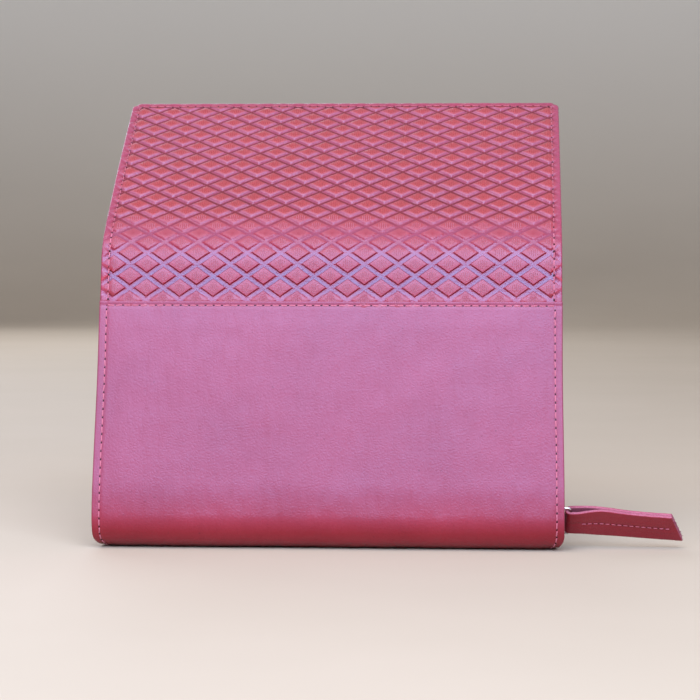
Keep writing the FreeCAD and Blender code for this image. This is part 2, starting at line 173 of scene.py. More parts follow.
CORNER_1 = back_point(PANEL_LENGTH)
CORNER_2 = CORNER_1 + along(BRIDGE_LEAN) * BRIDGE_LENGTH
FLAP_MIDDLE = CORNER_2 + along(FLAP_LEAN - FLAP_BEND) * FLAP_BEND_AT
FLAP_END = CORNER_2 + along(FLAP_LEAN) * FLAP_LENGTH

PLAIN = Outline(rounded([back_point(SEAM_EDGE), BELLY, BACK_FOOT, FRONT_FOOT,
                         front_point(PANEL_LENGTH - FRONT_SETBACK)],
                        [BELLY_RADIUS, SPINE_RADIUS_BACK, SPINE_RADIUS_FRONT]), -1)
EMBOSSED = Outline(rounded([back_point(SEAM_EDGE, 0.35), CORNER_1 + inward(BACK_LEAN) * 0.25, CORNER_2,
                            FLAP_MIDDLE, FLAP_END], [CREASE_1_RADIUS, CREASE_2_RADIUS, FLAP_CURVE_RADIUS]), 1)


def spine_corner(point_at):
    """Where a cover's lined face, run on straight, meets the lined face under the spine."""
    low, high = point_at(0, STACK), point_at(10, STACK)
    return low + (high - low) * (STACK - low[1]) / (high[1] - low[1])


LINED = Outline(rounded([back_point(PANEL_LENGTH - 4.0, STACK), spine_corner(back_point), spine_corner(front_point),
                         front_point(PANEL_LENGTH - FRONT_SETBACK - 2.0, STACK)],
                        [SPINE_RADIUS_BACK - STACK, SPINE_RADIUS_FRONT - STACK]), 1)
BACK_INSIDE = Outline(np.array([back_point(0, STACK), back_point(PANEL_LENGTH, STACK)]), -1)
FRONT_INSIDE = Outline(np.array([front_point(0, STACK), front_point(PANEL_LENGTH, STACK)]), 1)


def distance_along(outline, point):
    """How far along an outline its nearest place to a side-view point is."""
    return outline.at[np.argmin(np.linalg.norm(outline.points - np.array(point), axis=1))]


HINGE_AT = distance_along(PLAIN, HINGES["front_cover_hinge"][1:])
CREASE_1_AT = distance_along(EMBOSSED, HINGES["flap_crease_low"][1:])
CREASE_2_AT = distance_along(EMBOSSED, HINGES["flap_crease_high"][1:])
LINING_INSET, LINING_START = 1.5, 22.0
TURNED_WIDTH, TURNED_DEPTH = 3.6, 1.2    # the hides' edges are turned in over the lining
BRIDGE_MIDDLE = (CREASE_1_AT + CREASE_2_AT) / 2
BLEND_REACH = BRIDGE_MIDDLE - CREASE_1_AT - 0.5
HINGE_REACH = 5.0
LOW_CREASE = (EMBOSSED, CREASE_1_AT, BLEND_REACH, "back", "bridge")
HIGH_CREASE = (EMBOSSED, CREASE_2_AT, BLEND_REACH, "bridge", "flap")
FRONT_SPLIT = HINGE_AT - HINGE_REACH - 0.5


# ---- small helpers
def smooth(low, high, value):
    t = np.clip((value - low) / (high - low), 0, 1)
    return t * t * (3 - 2 * t)


FRACTAL = (1.0, 2.0, 3)      # dimension, gap between layers and layers of the noise


def fractal(x, e, size, seed):
    """Smooth repeatable noise from about -1 to 1 over the flat leather, size in millimetres."""
    places = zip(np.ravel(x), np.ravel(e))
    values = [noise.fractal(Vector((a / size, b / size, seed)), *FRACTAL) for a, b in places]
    return np.array(values).reshape(np.shape(x))


def waves(x, e, layers):
    """Layers of noise: (size, seed, height)."""
    return sum(fractal(x, e, size, seed) * height for size, seed, height in layers)


def make_object(name, points, faces, materials, flat=None, face_slots=None):
    """A mesh object from points in millimetres; flat (x, e) places are kept as its UV map."""
    mesh = bpy.data.meshes.new(name)
    mesh.from_pydata((np.asarray(points) * MM).tolist(), [], [tuple(map(int, f)) for f in faces])
    if flat is not None:
        layer = mesh.uv_layers.new(name="hide")
        corners = np.empty(len(mesh.loops), int)
        mesh.loops.foreach_get("vertex_index", corners)
        layer.data.foreach_set("uv", (np.asarray(flat)[corners] * UV).astype(np.float32).ravel())
    for material in materials:
        mesh.materials.append(material)
    if face_slots is not None:
        mesh.polygons.foreach_set("material_index", np.asarray(face_slots, np.int32))
    mesh.polygons.foreach_set("use_smooth", np.full(len(mesh.polygons), True))
    mesh.update()
    mesh.validate()
    return link(bpy.data.objects.new(name, mesh))


def outward(ob):
    """Make a closed piece's faces all point out."""
    work = bmesh.new()
    work.from_mesh(ob.data)
    bmesh.ops.recalc_face_normals(work, faces=work.faces)
    work.to_mesh(ob.data)
    work.free()
    return ob


def sharpen(ob, angle):
    ob.data.set_sharp_from_angle(angle=math.radians(angle))


def blend_at(ob, outline, at, reach, first, second):
    """Bake a piece's placement into its mesh. It looks up the ends of the stretch round the crease but bends
    nothing, and the two bodies are not used.
    """
    y0, z0, _, _ = outline.spot(at - reach)
    y1, z1, _, _ = outline.spot(at + reach)
    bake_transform(ob)


def link(ob):
    bpy.context.scene.collection.objects.link(ob)
    return ob


def dress(slot, obs, node=None, body=None):
    """Attach pieces to a body, if one is given, and hide the CAD node that they stand in for; the slot is not used.
    """
    for ob in obs:
        if body:
            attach(ob, body)
    if node:
        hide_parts(node)


def u_path(side, start, top, cut):
    """A line up one side of a sheet, across its top and down the other side, with its corners cut."""
    left = [(-side, start), (-side, top - cut), (-side + cut, top)]
    return left + [(-x, e) for x, e in left[::-1]]


def normals_of(path):
    """Unit vectors across a flat path, to its left."""
    steps = np.gradient(path, axis=0)
    steps /= np.linalg.norm(steps, axis=1)[:, None]
    return np.stack([-steps[:, 1], steps[:, 0]], -1)


def set_stops(ramp, stops):
    """Fill a colour ramp with (place, colour) stops."""
    while len(ramp.elements) < len(stops):
        ramp.elements.new(0.5)
    for element, (place, colour) in zip(ramp.elements, stops):
        element.position = place
        element.color = (*colour, 1)


# ---- materials
class Nodes:
    """Short names for building one material's nodes."""

    def __init__(self, name):
        self.material = bpy.data.materials.new(name)
        self.material.use_nodes = True
        self.tree = self.material.node_tree
        self.shader = self.tree.nodes["Principled BSDF"]

    def add(self, kind, **settings):
        node = self.tree.nodes.new(kind)
        for key, value in settings.items():
            if key in node.inputs:
                node.inputs[key].default_value = value
            else:
                setattr(node, key, value)
        return node

    def link(self, source, target):
        self.tree.links.new(source, target)

    def place(self, uv=True, scale=(1, 1, 1)):
        mapping = self.add("ShaderNodeMapping", Scale=scale)
        if uv:
            self.link(self.add("ShaderNodeUVMap", uv_map="hide").outputs["UV"], mapping.inputs["Vector"])
        else:
            self.link(self.add("ShaderNodeTexCoord").outputs["Object"], mapping.inputs["Vector"])
        return mapping.outputs["Vector"]

    def noise(self, where, scale, detail=4.0, rough=0.55):
        node = self.add("ShaderNodeTexNoise", Scale=scale, Detail=detail, Roughness=rough)
        self.link(where, node.inputs["Vector"])
        return node.outputs["Fac"]

    def cells(self, where, scale, feature="DISTANCE_TO_EDGE"):
        node = self.add("ShaderNodeTexVoronoi", Scale=scale)
        node.feature = feature
        self.link(where, node.inputs["Vector"])
        return node.outputs["Distance"]

    def ramp(self, value, stops):
        node = self.add("ShaderNodeValToRGB")
        set_stops(node.color_ramp, stops)
        self.link(value, node.inputs["Fac"])
        return node.outputs["Color"]

    def range(self, value, low, high, from_low=0.0, from_high=1.0):
        ends = {"From Min": from_low, "From Max": from_high, "To Min": low, "To Max": high}
        node = self.add("ShaderNodeMapRange", **ends)
        self.link(value, node.inputs["Value"])
        return node.outputs["Result"]

    def math(self, operation, a, b):
        node = self.add("ShaderNodeMath", operation=operation)
        for socket, value in zip(node.inputs, (a, b)):
            self.link(value, socket)
        return node.outputs["Value"]

    def mix(self, factor, a, b):
        node = self.add("ShaderNodeMix", data_type="RGBA")
        for key, value in (("Factor", factor), ("A", a), ("B", b)):
            socket = [s for s in node.inputs if s.name == key and s.enabled][0]
            if isinstance(value, tuple):
                socket.default_value = (*value, 1)
            else:
                self.link(value, socket)
        return [s for s in node.outputs if s.enabled][0]

    def bump(self, layers):
        """Chain bump maps: (height, strength, distance in metres)."""
        normal = None
        for height, strength, distance in layers:
            node = self.add("ShaderNodeBump", Strength=strength, Distance=distance)
            self.link(height, node.inputs["Height"])
            if normal is not None:
                self.link(normal, node.inputs["Normal"])
            normal = node.outputs["Normal"]
        self.link(normal, self.shader.inputs["Normal"])

    def finish(self, colour=None, rough=None, **values):
        if colour is not None:
            self.link(colour, self.shader.inputs["Base Color"])
        if rough is not None:
            self.link(rough, self.shader.inputs["Roughness"])
        for key, value in values.items():
            self.shader.inputs[key.replace("_", " ")].default_value = value
        return self.material


# colours are linear
RED_DEEP = (0.212, 0.005, 0.009)
RED = (0.266, 0.009, 0.015)
RED_LIGHT = (0.310, 0.015, 0.023)
PORE = (0.10, 0.006, 0.012)
SPECK = (0.09, 0.006, 0.012)
# painted shade on the lower bevels of the yoke's pads, which face down
BEVEL_SHADE = (0.24, 0.003, 0.010)
# painted shade in the recessed bands between the flap's pads
BAND_SHADE = (0.055, 0.008, 0.012)
# painted reflection of the bluish sky in the yoke's recessed bands
BAND_SKY_REFLECTION = (0.100, 0.092, 0.165)
# painted highlight on the lower part of each pad on the yoke
PAD_HIGHLIGHT = (0.420, 0.016, 0.018)
# painted highlight colours on the raised hatch ridges, pink on the yoke and orange on the flap
RIDGE_PINK = (0.540, 0.190, 0.240)
RIDGE_ORANGE = (0.440, 0.080, 0.065)
# painted highlight on the lower bevels of the flap's pads, which face forward and catch the light
BEVEL_HIGHLIGHT = (0.310, 0.095, 0.150)
PAD_ORANGE = (0.400, 0.090, 0.085)
SKY_REFLECTION = (0.280, 0.085, 0.150)            # painted reflection of the bluish sky on hide that faces it
REFLECTION_FROM, REFLECTION_OVER = 95.0, 19.0    # how far along the hide the painted sky reflection starts to fade out, where the hide turns down to the floor
SHEEN_TINT = (0.62, 0.74, 0.95, 1)


def hide_material(name, grain=1.0, polish=0.0, embossed=False, reflection_strength=0.0):
    """Wine-red aniline leather: pebbled grain, fine creases, specks and a soft polish."""
    n = Nodes(name)
    where = n.place()
    cloud = n.noise(where, 2.2, 5.0)
    mottle = n.noise(where, 11.0, 4.0)
    colour = n.ramp(cloud, [(0.20, RED_DEEP), (0.50, RED), (0.85, RED_LIGHT)])
    colour = n.mix(n.range(mottle, 0.0, 0.22, 0.45, 0.75), colour, RED_DEEP)
    # paint the bluish sky's reflection on the hide, fading out along it where it turns down towards the floor
    if reflection_strength:
        up = n.add("ShaderNodeSeparateXYZ")
        n.link(where, up.inputs["Vector"])
        reflection_fade = n.range(up.outputs["Y"], reflection_strength, 0.0, REFLECTION_FROM * UV, (REFLECTION_FROM + REFLECTION_OVER) * UV)
        colour = n.mix(reflection_fade, colour, SKY_REFLECTION)
    pores = n.cells(where, 95.0 * grain, "F1")
    colour = n.mix(n.range(pores, 0.35, 0.0, 0.0, 0.16), colour, PORE)
    specks = n.noise(where, 46.0, 2.0)
    colour = n.mix(n.range(specks, 0.0, 0.55, 0.70, 0.78), colour, SPECK)
    rough = n.range(mottle, 0.36 - polish, 0.43 - polish, 0.3, 0.7)
    pebble = n.range(n.cells(where, 62.0 * grain), 0.0, 1.0, 0.0, 0.28)
    fine = n.noise(where, 150.0, 3.0)
    wrinkles = n.noise(n.place(scale=(9.0, 2.2, 1.0)), 3.2, 6.0, 0.62)
    colour = n.mix(n.range(wrinkles, 0.0, 0.16, 0.48, 0.70), colour, RED_DEEP)
    if embossed:
        # the tint attribute holds the pads' own colour and the painted sky reflection, highlights and shade of the
        # embossing
        tint = n.add("ShaderNodeAttribute", attribute_name="tint")
        colour = n.mix(tint.outputs["Alpha"], colour, tint.outputs["Color"])
        height = n.add("ShaderNodeAttribute", attribute_name="pad").outputs["Fac"]
        rough = n.math("ADD", rough, n.range(height, -0.14, 0.0, 0.0, 0.7))
    n.bump([(pebble, 0.34, 0.00012), (fine, 0.30, 0.00006), (wrinkles, 0.40, 0.0005)])
    return n.finish(colour, rough, Specular_IOR_Level=0.5, Specular_Tint=SHEEN_TINT,
                    Sheen_Weight=0.04, Sheen_Roughness=0.5)


def woven_material(name, dark, light, thread=0.45):
    """Plain woven cloth; thread is the spacing of its threads in millimetres."""
    n = Nodes(name)
    where = n.place(uv=False)
    waves = []
    for direction in ("X", "Z"):
        wave = n.add("ShaderNodeTexWave", Scale=50.0 / thread, Distortion=0.6)
        wave.bands_direction = direction
        n.link(where, wave.inputs["Vector"])
        waves.append(wave.outputs["Fac"])
    weave = n.math("MULTIPLY", waves[0], waves[1])
    cloud = n.noise(where, 90.0, 4.0)
    colour = n.mix(n.range(weave, 0.15, 1.0, 0.0, 0.8), dark, light)
    colour = n.mix(n.range(cloud, 0.0, 0.4, 0.4, 0.8), colour, dark)
    n.bump([(weave, 0.5, 0.00015), (n.noise(where, 900.0, 2.0), 0.2, 0.00008)])
    return n.finish(colour, n.range(cloud, 0.77, 0.91), Sheen_Weight=0.25, Sheen_Roughness=0.4)


def smooth_leather_material(name, dark, light, scale=420.0):
    """Thin leather seen edge-on or inside, with grain laid on by place in the model."""
    n = Nodes(name)
    where = n.place(uv=False)
    cloud = n.noise(where, 60.0, 5.0)
    colour = n.ramp(cloud, [(0.3, dark), (0.7, light)])
    pebble = n.range(n.cells(where, scale * 1.6), 0.0, 1.0, 0.0, 0.3)
    n.bump([(pebble, 0.4, 0.0001), (n.noise(where, scale, 4.0), 0.3, 0.00015)])
    return n.finish(colour, n.range(cloud, 0.45, 0.6), Specular_IOR_Level=0.5)


def fibre_material(name, dark, light, scale, stretch=(1, 1, 1)):
    """Matt fibrous stuff: raw leather edge, card, paper or board."""
    n = Nodes(name)
    where = n.place(uv=False, scale=stretch)
    fibres = n.noise(where, scale, 6.0, 0.7)
    cloud = n.noise(where, scale / 12, 3.0)
    colour = n.mix(n.range(fibres, 0.0, 1.0, 0.3, 0.7), dark, light)
    colour = n.mix(n.range(cloud, 0.0, 0.35, 0.4, 0.8), colour, dark)
    n.bump([(fibres, 0.5, 0.00015)])
    return n.finish(colour, n.range(cloud, 0.85, 0.95))


def metal_material(name, colour, rough=0.18):
    """Plated metal with dull patches and fine scratches."""
    n = Nodes(name)
    scratches = n.noise(n.place(uv=False, scale=(1, 12, 1)), 500.0, 4.0)
    cloud = n.noise(n.place(uv=False), 240.0, 3.0)
    dull = tuple(c * 0.72 for c in colour)
    tint = n.mix(n.range(cloud, 0.0, 0.6, 0.5, 0.8), colour, dull)
    n.bump([(scratches, 0.12, 0.00004)])
    return n.finish(tint, n.range(cloud, rough, rough + 0.16), Metallic=1.0)


def thread_material(name, dark, light):
    """Waxed sewing thread with a twisted ply."""
    n = Nodes(name)
    twist = n.add("ShaderNodeTexWave", Scale=55.0, Distortion=1.0)
    twist.bands_direction = "DIAGONAL"
    where = n.place(uv=False, scale=(20, 20, 20))
    n.link(where, twist.inputs["Vector"])
    colour = n.mix(n.range(twist.outputs["Fac"], 0.0, 0.8), light, dark)
    n.bump([(twist.outputs["Fac"], 0.4, 0.00008)])
    return n.finish(colour, n.range(n.noise(where, 30.0), 0.5, 0.7), Sheen_Weight=0.2)


plain_hide = hide_material("plain_hide", reflection_strength=0.43)
embossed_hide = hide_material("embossed_hide", grain=1.3, polish=0.03, embossed=True)
puller_hide = hide_material("puller_hide", grain=1.5)
raw_edge = fibre_material("raw_edge", (0.25, 0.040, 0.062), (0.46, 0.135, 0.18), 1400.0)
flesh_side = fibre_material("flesh_side", (0.16, 0.015, 0.03), (0.42, 0.10, 0.14), 900.0)
thread = thread_material("pink_thread", (0.36, 0.040, 0.07), (0.60, 0.16, 0.21))
flap_thread = thread_material("red_thread", (0.30, 0.028, 0.045), (0.46, 0.085, 0.12))
needle_hole = fibre_material("needle_hole", (0.02, 0.002, 0.004), (0.05, 0.004, 0.008), 2000.0)
lining_cloth = woven_material("lining_cloth", (0.06, 0.006, 0.012), (0.16, 0.014, 0.026))
zip_cloth = woven_material("zip_cloth", (0.07, 0.006, 0.012), (0.20, 0.018, 0.035), thread=0.7)
pocket_leather = smooth_leather_material("pocket_leather", (0.13, 0.010, 0.018), (0.24, 0.018, 0.03))
grey_board = fibre_material("grey_board", (0.20, 0.18, 0.16), (0.42, 0.39, 0.35), 500.0)
kraft_card = fibre_material("kraft_card", (0.34, 0.20, 0.11), (0.50, 0.34, 0.20), 420.0)
cream_paper = fibre_material("cream_paper", (0.62, 0.57, 0.45), (0.84, 0.80, 0.70), 380.0, stretch=(1, 9, 1))
nickel = metal_material("nickel", (0.78, 0.76, 0.73))
magnet_plate = metal_material("magnet_plate", (0.60, 0.60, 0.61), 0.3)
coil_nylon = smooth_leather_material("coil_nylon", (0.09, 0.008, 0.015), (0.17, 0.014, 0.026), 900.0)


# ---- sheets of leather and cloth
FINE_EDGE = (0, 0.12, 0.3, 0.55, 0.9, 1.4, 1.85, 2.3, 2.75, 3.2, 3.6, 4.0, 4.4, 4.8, 5.6)


def edge_columns(half_width, step):
    """Places across a sheet, as shares of its half width, packed towards both edges."""
    fine = np.array(FINE_EDGE)
    inner = half_width - fine[-1]
    middle = np.linspace(-inner, inner, max(3, int(2 * inner / step)))
    sides = half_width - fine[:-1]
    return np.r_[-sides, middle, sides[::-1]] / half_width


def spread(start, end, step, round_start, round_end):
    """Places along a sheet, packed towards an end that is rounded."""
    fine = np.array(FINE_EDGE)
    low = start + (fine if round_start else fine[:1])
    high = end - (fine[::-1] if round_end else fine[:1])
    return np.r_[low[:-1], np.linspace(low[-1], high[0], max(3, int((high[0] - low[-1]) / step))), high[1:]]


def rounded_drop(distance, radius):
    """How far a rounded edge lies below its face, by distance in from the edge."""
    t = np.clip(1 - distance / radius, 0, 1)
    return radius * (1 - np.sqrt(np.clip(1 - t * t, 0, 1)))


def sheet_piece(name, outline, start, end, half_width, height, thickness, materials,
                step=1.5, corner=0.0, round_start=False, round_end=False, edge=0.7, base=0.0,
                warp=None, rough_rim=0.0, turned_edge=0.0, even=False):
    """A closed sheet bent along an outline. height(x, e) shapes its outer face, and both if even."""
    places = spread(start, end, step, round_start, round_end)
    shares = edge_columns(half_width(places[len(places) // 2]), step)
    widths = np.array([half_width(e) for e in places])
    if corner:
        short = np.clip(corner - (end - places), 0, corner)
        widths = widths - (corner - np.sqrt(corner ** 2 - short ** 2))
    x = shares[None, :] * widths[:, None]
    e = np.repeat(places[:, None], len(shares), axis=1)
    to_side = widths[:, None] - np.abs(x)
    drop = rounded_drop(to_side, edge)
    if round_start:
        drop = np.maximum(drop, rounded_drop(e - start, edge))
    if round_end:
        drop = np.maximum(drop, rounded_drop(end - e, edge))
    raised = height(x, e)
    outer = base + raised - drop
    under = base - thickness + np.minimum(drop, thickness / 3) * 0.6 + even * raised
    to_rim = np.minimum(to_side, end - e) if round_end else to_side
    under = under - turned_edge * smooth(TURNED_WIDTH, TURNED_WIDTH - 0.8, to_rim)
    if warp:
        x, e = warp(x, e)
    if rough_rim:
        fray = rough_rim * fractal(e * 2.0, x * 2.0, 1.0, 51.0) * (to_rim < 0.1)
        x = x + fray * np.sign(x)
        e = e + rough_rim * fractal(x * 2.0, e, 1.0, 57.0) * ((e == e.min()) | (e == e.max()))
    rows, columns = x.shape
    points = np.concatenate([outline.bend(x, e, outer).reshape(-1, 3), outline.bend(x, e, under).reshape(-1, 3)])
    flat = np.concatenate([np.stack([x, e], -1).reshape(-1, 2)] * 2)
    index = np.arange(rows * columns).reshape(rows, columns)
    top = np.stack([index[:-1, :-1], index[:-1, 1:], index[1:, 1:], index[1:, :-1]], -1).reshape(-1, 4)
    below = top[:, ::-1] + rows * columns
    rim = np.r_[index[0, :], index[1:, -1], index[-1, -2::-1], index[-2:0:-1, 0]]
    ahead = np.roll(rim, -1)
    wall = np.stack([rim, rim + rows * columns, ahead + rows * columns, ahead], -1)
    slots = np.r_[np.zeros(len(top)), np.ones(len(below) + len(wall))] if len(materials) > 1 else None
    ob = make_object(name, points, np.concatenate([top, below, wall]), materials, flat, slots)
    return outward(ob)


PLAIN_INSET = 0.3
SPREAD, SPREAD_OVER = 0.9, (95, 20)      # the sides spread between these heights
TUCK, TUCK_BELOW = 3.0, 7.0
PLAIN_THICK = LEATHER - 0.2
GROOVE, GROOVE_WIDTH, CROWN = 0.28, 0.9, 0.30
WRINKLE, WRINKLE_SIZE, WRINKLE_STRETCH, WRINKLED = 0.24, 4.2, 0.28, (44, 14)
PLAIN_WAVES = ((55.0, 7.0, 0.35), (16.0, 9.0, 0.06))
RESTING, RESTING_DROP = (4.0, 0.6), 0.5  # the spine lies on the ground and never passes below it
CORNER_RADIUS = 6.0


def groove_at(distance, depth, width):
    """The shallow line that a row of stitches pulls down, by distance from it."""
    return -depth * np.exp(-(distance / width) ** 2)


def spine_half_width(e):
    """The cover's sides spread a little low down, then pull in where the leather turns under."""
    _, z, _, _ = PLAIN.spot(e)
    low = max(0.0, 1 - float(z) / TUCK_BELOW)
    return HALF - PLAIN_INSET + SPREAD * float(smooth(*SPREAD_OVER, z)) - TUCK * low ** 2


def plain_height(x, e):
    """Sewn-down edges, a slightly padded panel, soft creases and wrinkles round the spine."""
    _, z, _, _ = PLAIN.spot(e)
    to_side = HALF + SPREAD * smooth(*SPREAD_OVER, z) - np.abs(x)
    groove = groove_at(to_side - STITCH_INSET, GROOVE, GROOVE_WIDTH)
    groove += groove_at(e - SEAM_STITCH, GROOVE, GROOVE_WIDTH)
    crown = CROWN * smooth(STITCH_INSET, 16, to_side) * smooth(SEAM_STITCH, 14, e)
    wrinkle = fractal(x, e * WRINKLE_STRETCH, WRINKLE_SIZE, 3.0) * WRINKLE * smooth(*WRINKLED, z)
    height = groove + crown + wrinkle + waves(x, e, PLAIN_WAVES) * smooth(0, 12, to_side)
    resting = smooth(*RESTING, z)
    return height * (1 - resting) + np.minimum(height - RESTING_DROP, -0.02) * resting


def plain_cover():
    shared = (spine_half_width, plain_height, PLAIN_THICK, [plain_hide, raw_edge])
    back = sheet_piece("plain_back_hide", PLAIN, 0.0, FRONT_SPLIT, *shared, round_start=True,
                       turned_edge=TURNED_DEPTH)
    front = sheet_piece("plain_front_hide", PLAIN, FRONT_SPLIT, PLAIN.length, *shared, corner=CORNER_RADIUS,
                        round_end=True, turned_edge=TURNED_DEPTH)
    blend_at(front, PLAIN, HINGE_AT, HINGE_REACH, "back", "front")
    dress("plain_leather", [back], "back_leather", "back")
    dress("plain_leather", [front], "front_leather")


plain_cover()


# ---- embossed leather
CELL_LINES = (0.0, 0.10, 0.13, 0.16, 0.33, 0.5, 0.67, 0.84, 0.87, 0.90)
RIM_LINES = (0.14, 0.36, 0.75, STITCH_INSET - 0.8, STITCH_INSET, STITCH_INSET + 0.8)
SPARE = 3.0               # the lattice runs this far past its outline before it is cut
PAD_CENTRE_X = -8.0
HATCH_SPACING, HATCH_LONGEST, HATCH_WIDTH, HATCH_HEIGHT = 0.98, 4.6, 0.46, 0.30
HATCH_CLEAR, HATCH_SUNK, HATCH_TAPER, HATCH_SLOPE = 5.5, -0.12, 0.16, 0.3
COLUMNS = 8               # pads on each side of the middle one
RIDGE_HIGHLIGHT = 0.75         # ridges are painted pale as a highlight
CONTRAST_ROWS_AT, CONTRAST_ROWS_REACH = 12.0, 6.5      # painted light and shade are strongest in these rows, above the seam
SEAM_PRESS, CREASE_WEAR, FLAP_WEAR = 0.25, 0.36, 0.22
PAD_DOME, RIM_RELIEF = 0.14, 0.12
EDGE_GROOVE = (0.30, 0.8)                # depth and width
EDGE_RADIUS = 0.75
EMBOSSED_WAVES = ((60.0, 21.0, 0.22), (14.0, 25.0, 0.07))
FLAP_CORNER = 5.0
RIDGE_FACES = ((0, 1, 2), (3, 5, 4), (0, 2, 5, 3), (1, 4, 5, 2), (0, 3, 4, 1))


def to_cell(x, e):
    """The embossing's own slanted coordinates: a pad is centred on each pair of whole numbers."""
    across, up = (x - PAD_CENTRE_X) / PITCH, (e - FIRST_ROW) / PERIOD
    return up + across, up - across


def from_cell(u, v):
    return PAD_CENTRE_X + PITCH * (u - v) / 2, FIRST_ROW + PERIOD * (u + v) / 2


def pad_share(x, e):
    """0 in the bands between pads, 1 on a pad, along the embossing's steep bevels."""
    u, v = to_cell(x, e)
    to_edge = np.minimum(0.5 - np.abs(u - np.round(u)), 0.5 - np.abs(v - np.round(v)))
    return smooth(PAD_EDGE - 0.002, PAD_TOP + 0.002, to_edge), to_edge


def to_low_edge(x, e):
    """Distance from a pad's nearer lower edge, as a share of a cell."""
    u, v = to_cell(x, e)
    return np.minimum(u - np.round(u), v - np.round(v)) + 0.5


def lower_bevel(x, e):
    """1 on the bevel along a pad's two lower edges, where shade is painted on the yoke and a highlight on the flap.
    """
    _, to_edge = pad_share(x, e)
    nearest = to_low_edge(x, e) <= to_edge + 1e-6
    outer_end = smooth(PAD_EDGE - 0.05, PAD_EDGE + 0.01, to_edge)
    return nearest * outer_end * smooth(PAD_TOP + 0.05, PAD_TOP - 0.01, to_edge)


def press_strength(e):
    """The embossing is pressed flat beside the seam and worn down over the bridge's soft creases."""
    seam = SEAM_PRESS + (1 - SEAM_PRESS) * smooth(0.8, 3.4, e)
    worn = smooth(CREASE_1_AT - 5, CREASE_1_AT + 3, e) * smooth(CREASE_2_AT + 9, CREASE_2_AT - 1, e)
    on_flap = smooth(CREASE_2_AT, CREASE_2_AT + 8, e)
    return seam * (1 - CREASE_WEAR * worn - FLAP_WEAR * on_flap)


def embossed_height(x, e):
    """Relief of the pads and bands, with slow waves in the leather under them."""
    pad, to_edge = pad_share(x, e)
    relief = -BAND_DEPTH + (BAND_DEPTH + PAD_HEIGHT) * pad + PAD_DOME * smooth(PAD_TOP, 0.5, to_edge)
    return relief * press_strength(e) + waves(x, e, EMBOSSED_WAVES) * smooth(0, 25, e)


def pad_tint(x, e, pads, inland):
    """Colour and strength of the paint on the embossing: the pads' own orange, a painted sky reflection, and painted
    highlights and painted shade on the bands, bevels and pads.
    """
    on_flap = smooth(CREASE_1_AT + 5, CREASE_2_AT + 9, e)
    off_flap = 1 - on_flap
    # painted highlight, sky reflection and shade are made stronger in the rows above the seam
    row_contrast = np.exp(-((e - CONTRAST_ROWS_AT) / CONTRAST_ROWS_REACH) ** 2) * (1 + 0.35 * fractal(x, e, 40.0, 81.0))
    bevel, pressed = lower_bevel(x, e) * inland, press_strength(e) * inland
    bands = (1 - pads) * (1 - bevel) * pressed
    # where a highlight is painted on each pad, above its lower bevel
    pad_highlight = pads * smooth(0.40, PAD_TOP, to_low_edge(x, e))
    _, to_edge = pad_share(x, e)
    # painted shade in the middle of each pad, between its raised hatch ridges
    middle_shade = smooth(0.22, 0.48, to_edge)
    colour, amount = np.zeros((len(x), 3)), np.zeros(len(x))
    # in turn: painted sky reflection, the pads' own orange, painted highlight on the pads, painted shade in their
    # middles, painted sky reflection in the yoke's bands, painted shade on the yoke's lower bevels, painted shade in
    # the flap's bands and painted highlight on the flap's lower bevels
    for paint, strength in ((SKY_REFLECTION, np.maximum(0.34 * off_flap, 0.36 * (1 - inland))),
                            (PAD_ORANGE, (0.26 + 0.10 * on_flap) * pads * inland),
                            (PAD_HIGHLIGHT, (0.15 + 0.70 * row_contrast) * pad_highlight * off_flap),
                            (RED_DEEP, (0.60 - 0.30 * on_flap) * middle_shade),
                            (BAND_SKY_REFLECTION, (0.26 + 0.26 * row_contrast) * bands * off_flap),
                            (BEVEL_SHADE, (0.62 + 0.30 * row_contrast) * bevel * pressed * off_flap),
                            (BAND_SHADE, 0.78 * bands * on_flap), (BEVEL_HIGHLIGHT, 0.55 * bevel * on_flap)):
        total = amount + strength - amount * strength
        share = (strength / np.maximum(total, 1e-6))[:, None]
        colour = colour * (1 - share) + np.array(paint) * share
        amount = total
    return np.concatenate([colour, amount[:, None]], -1)


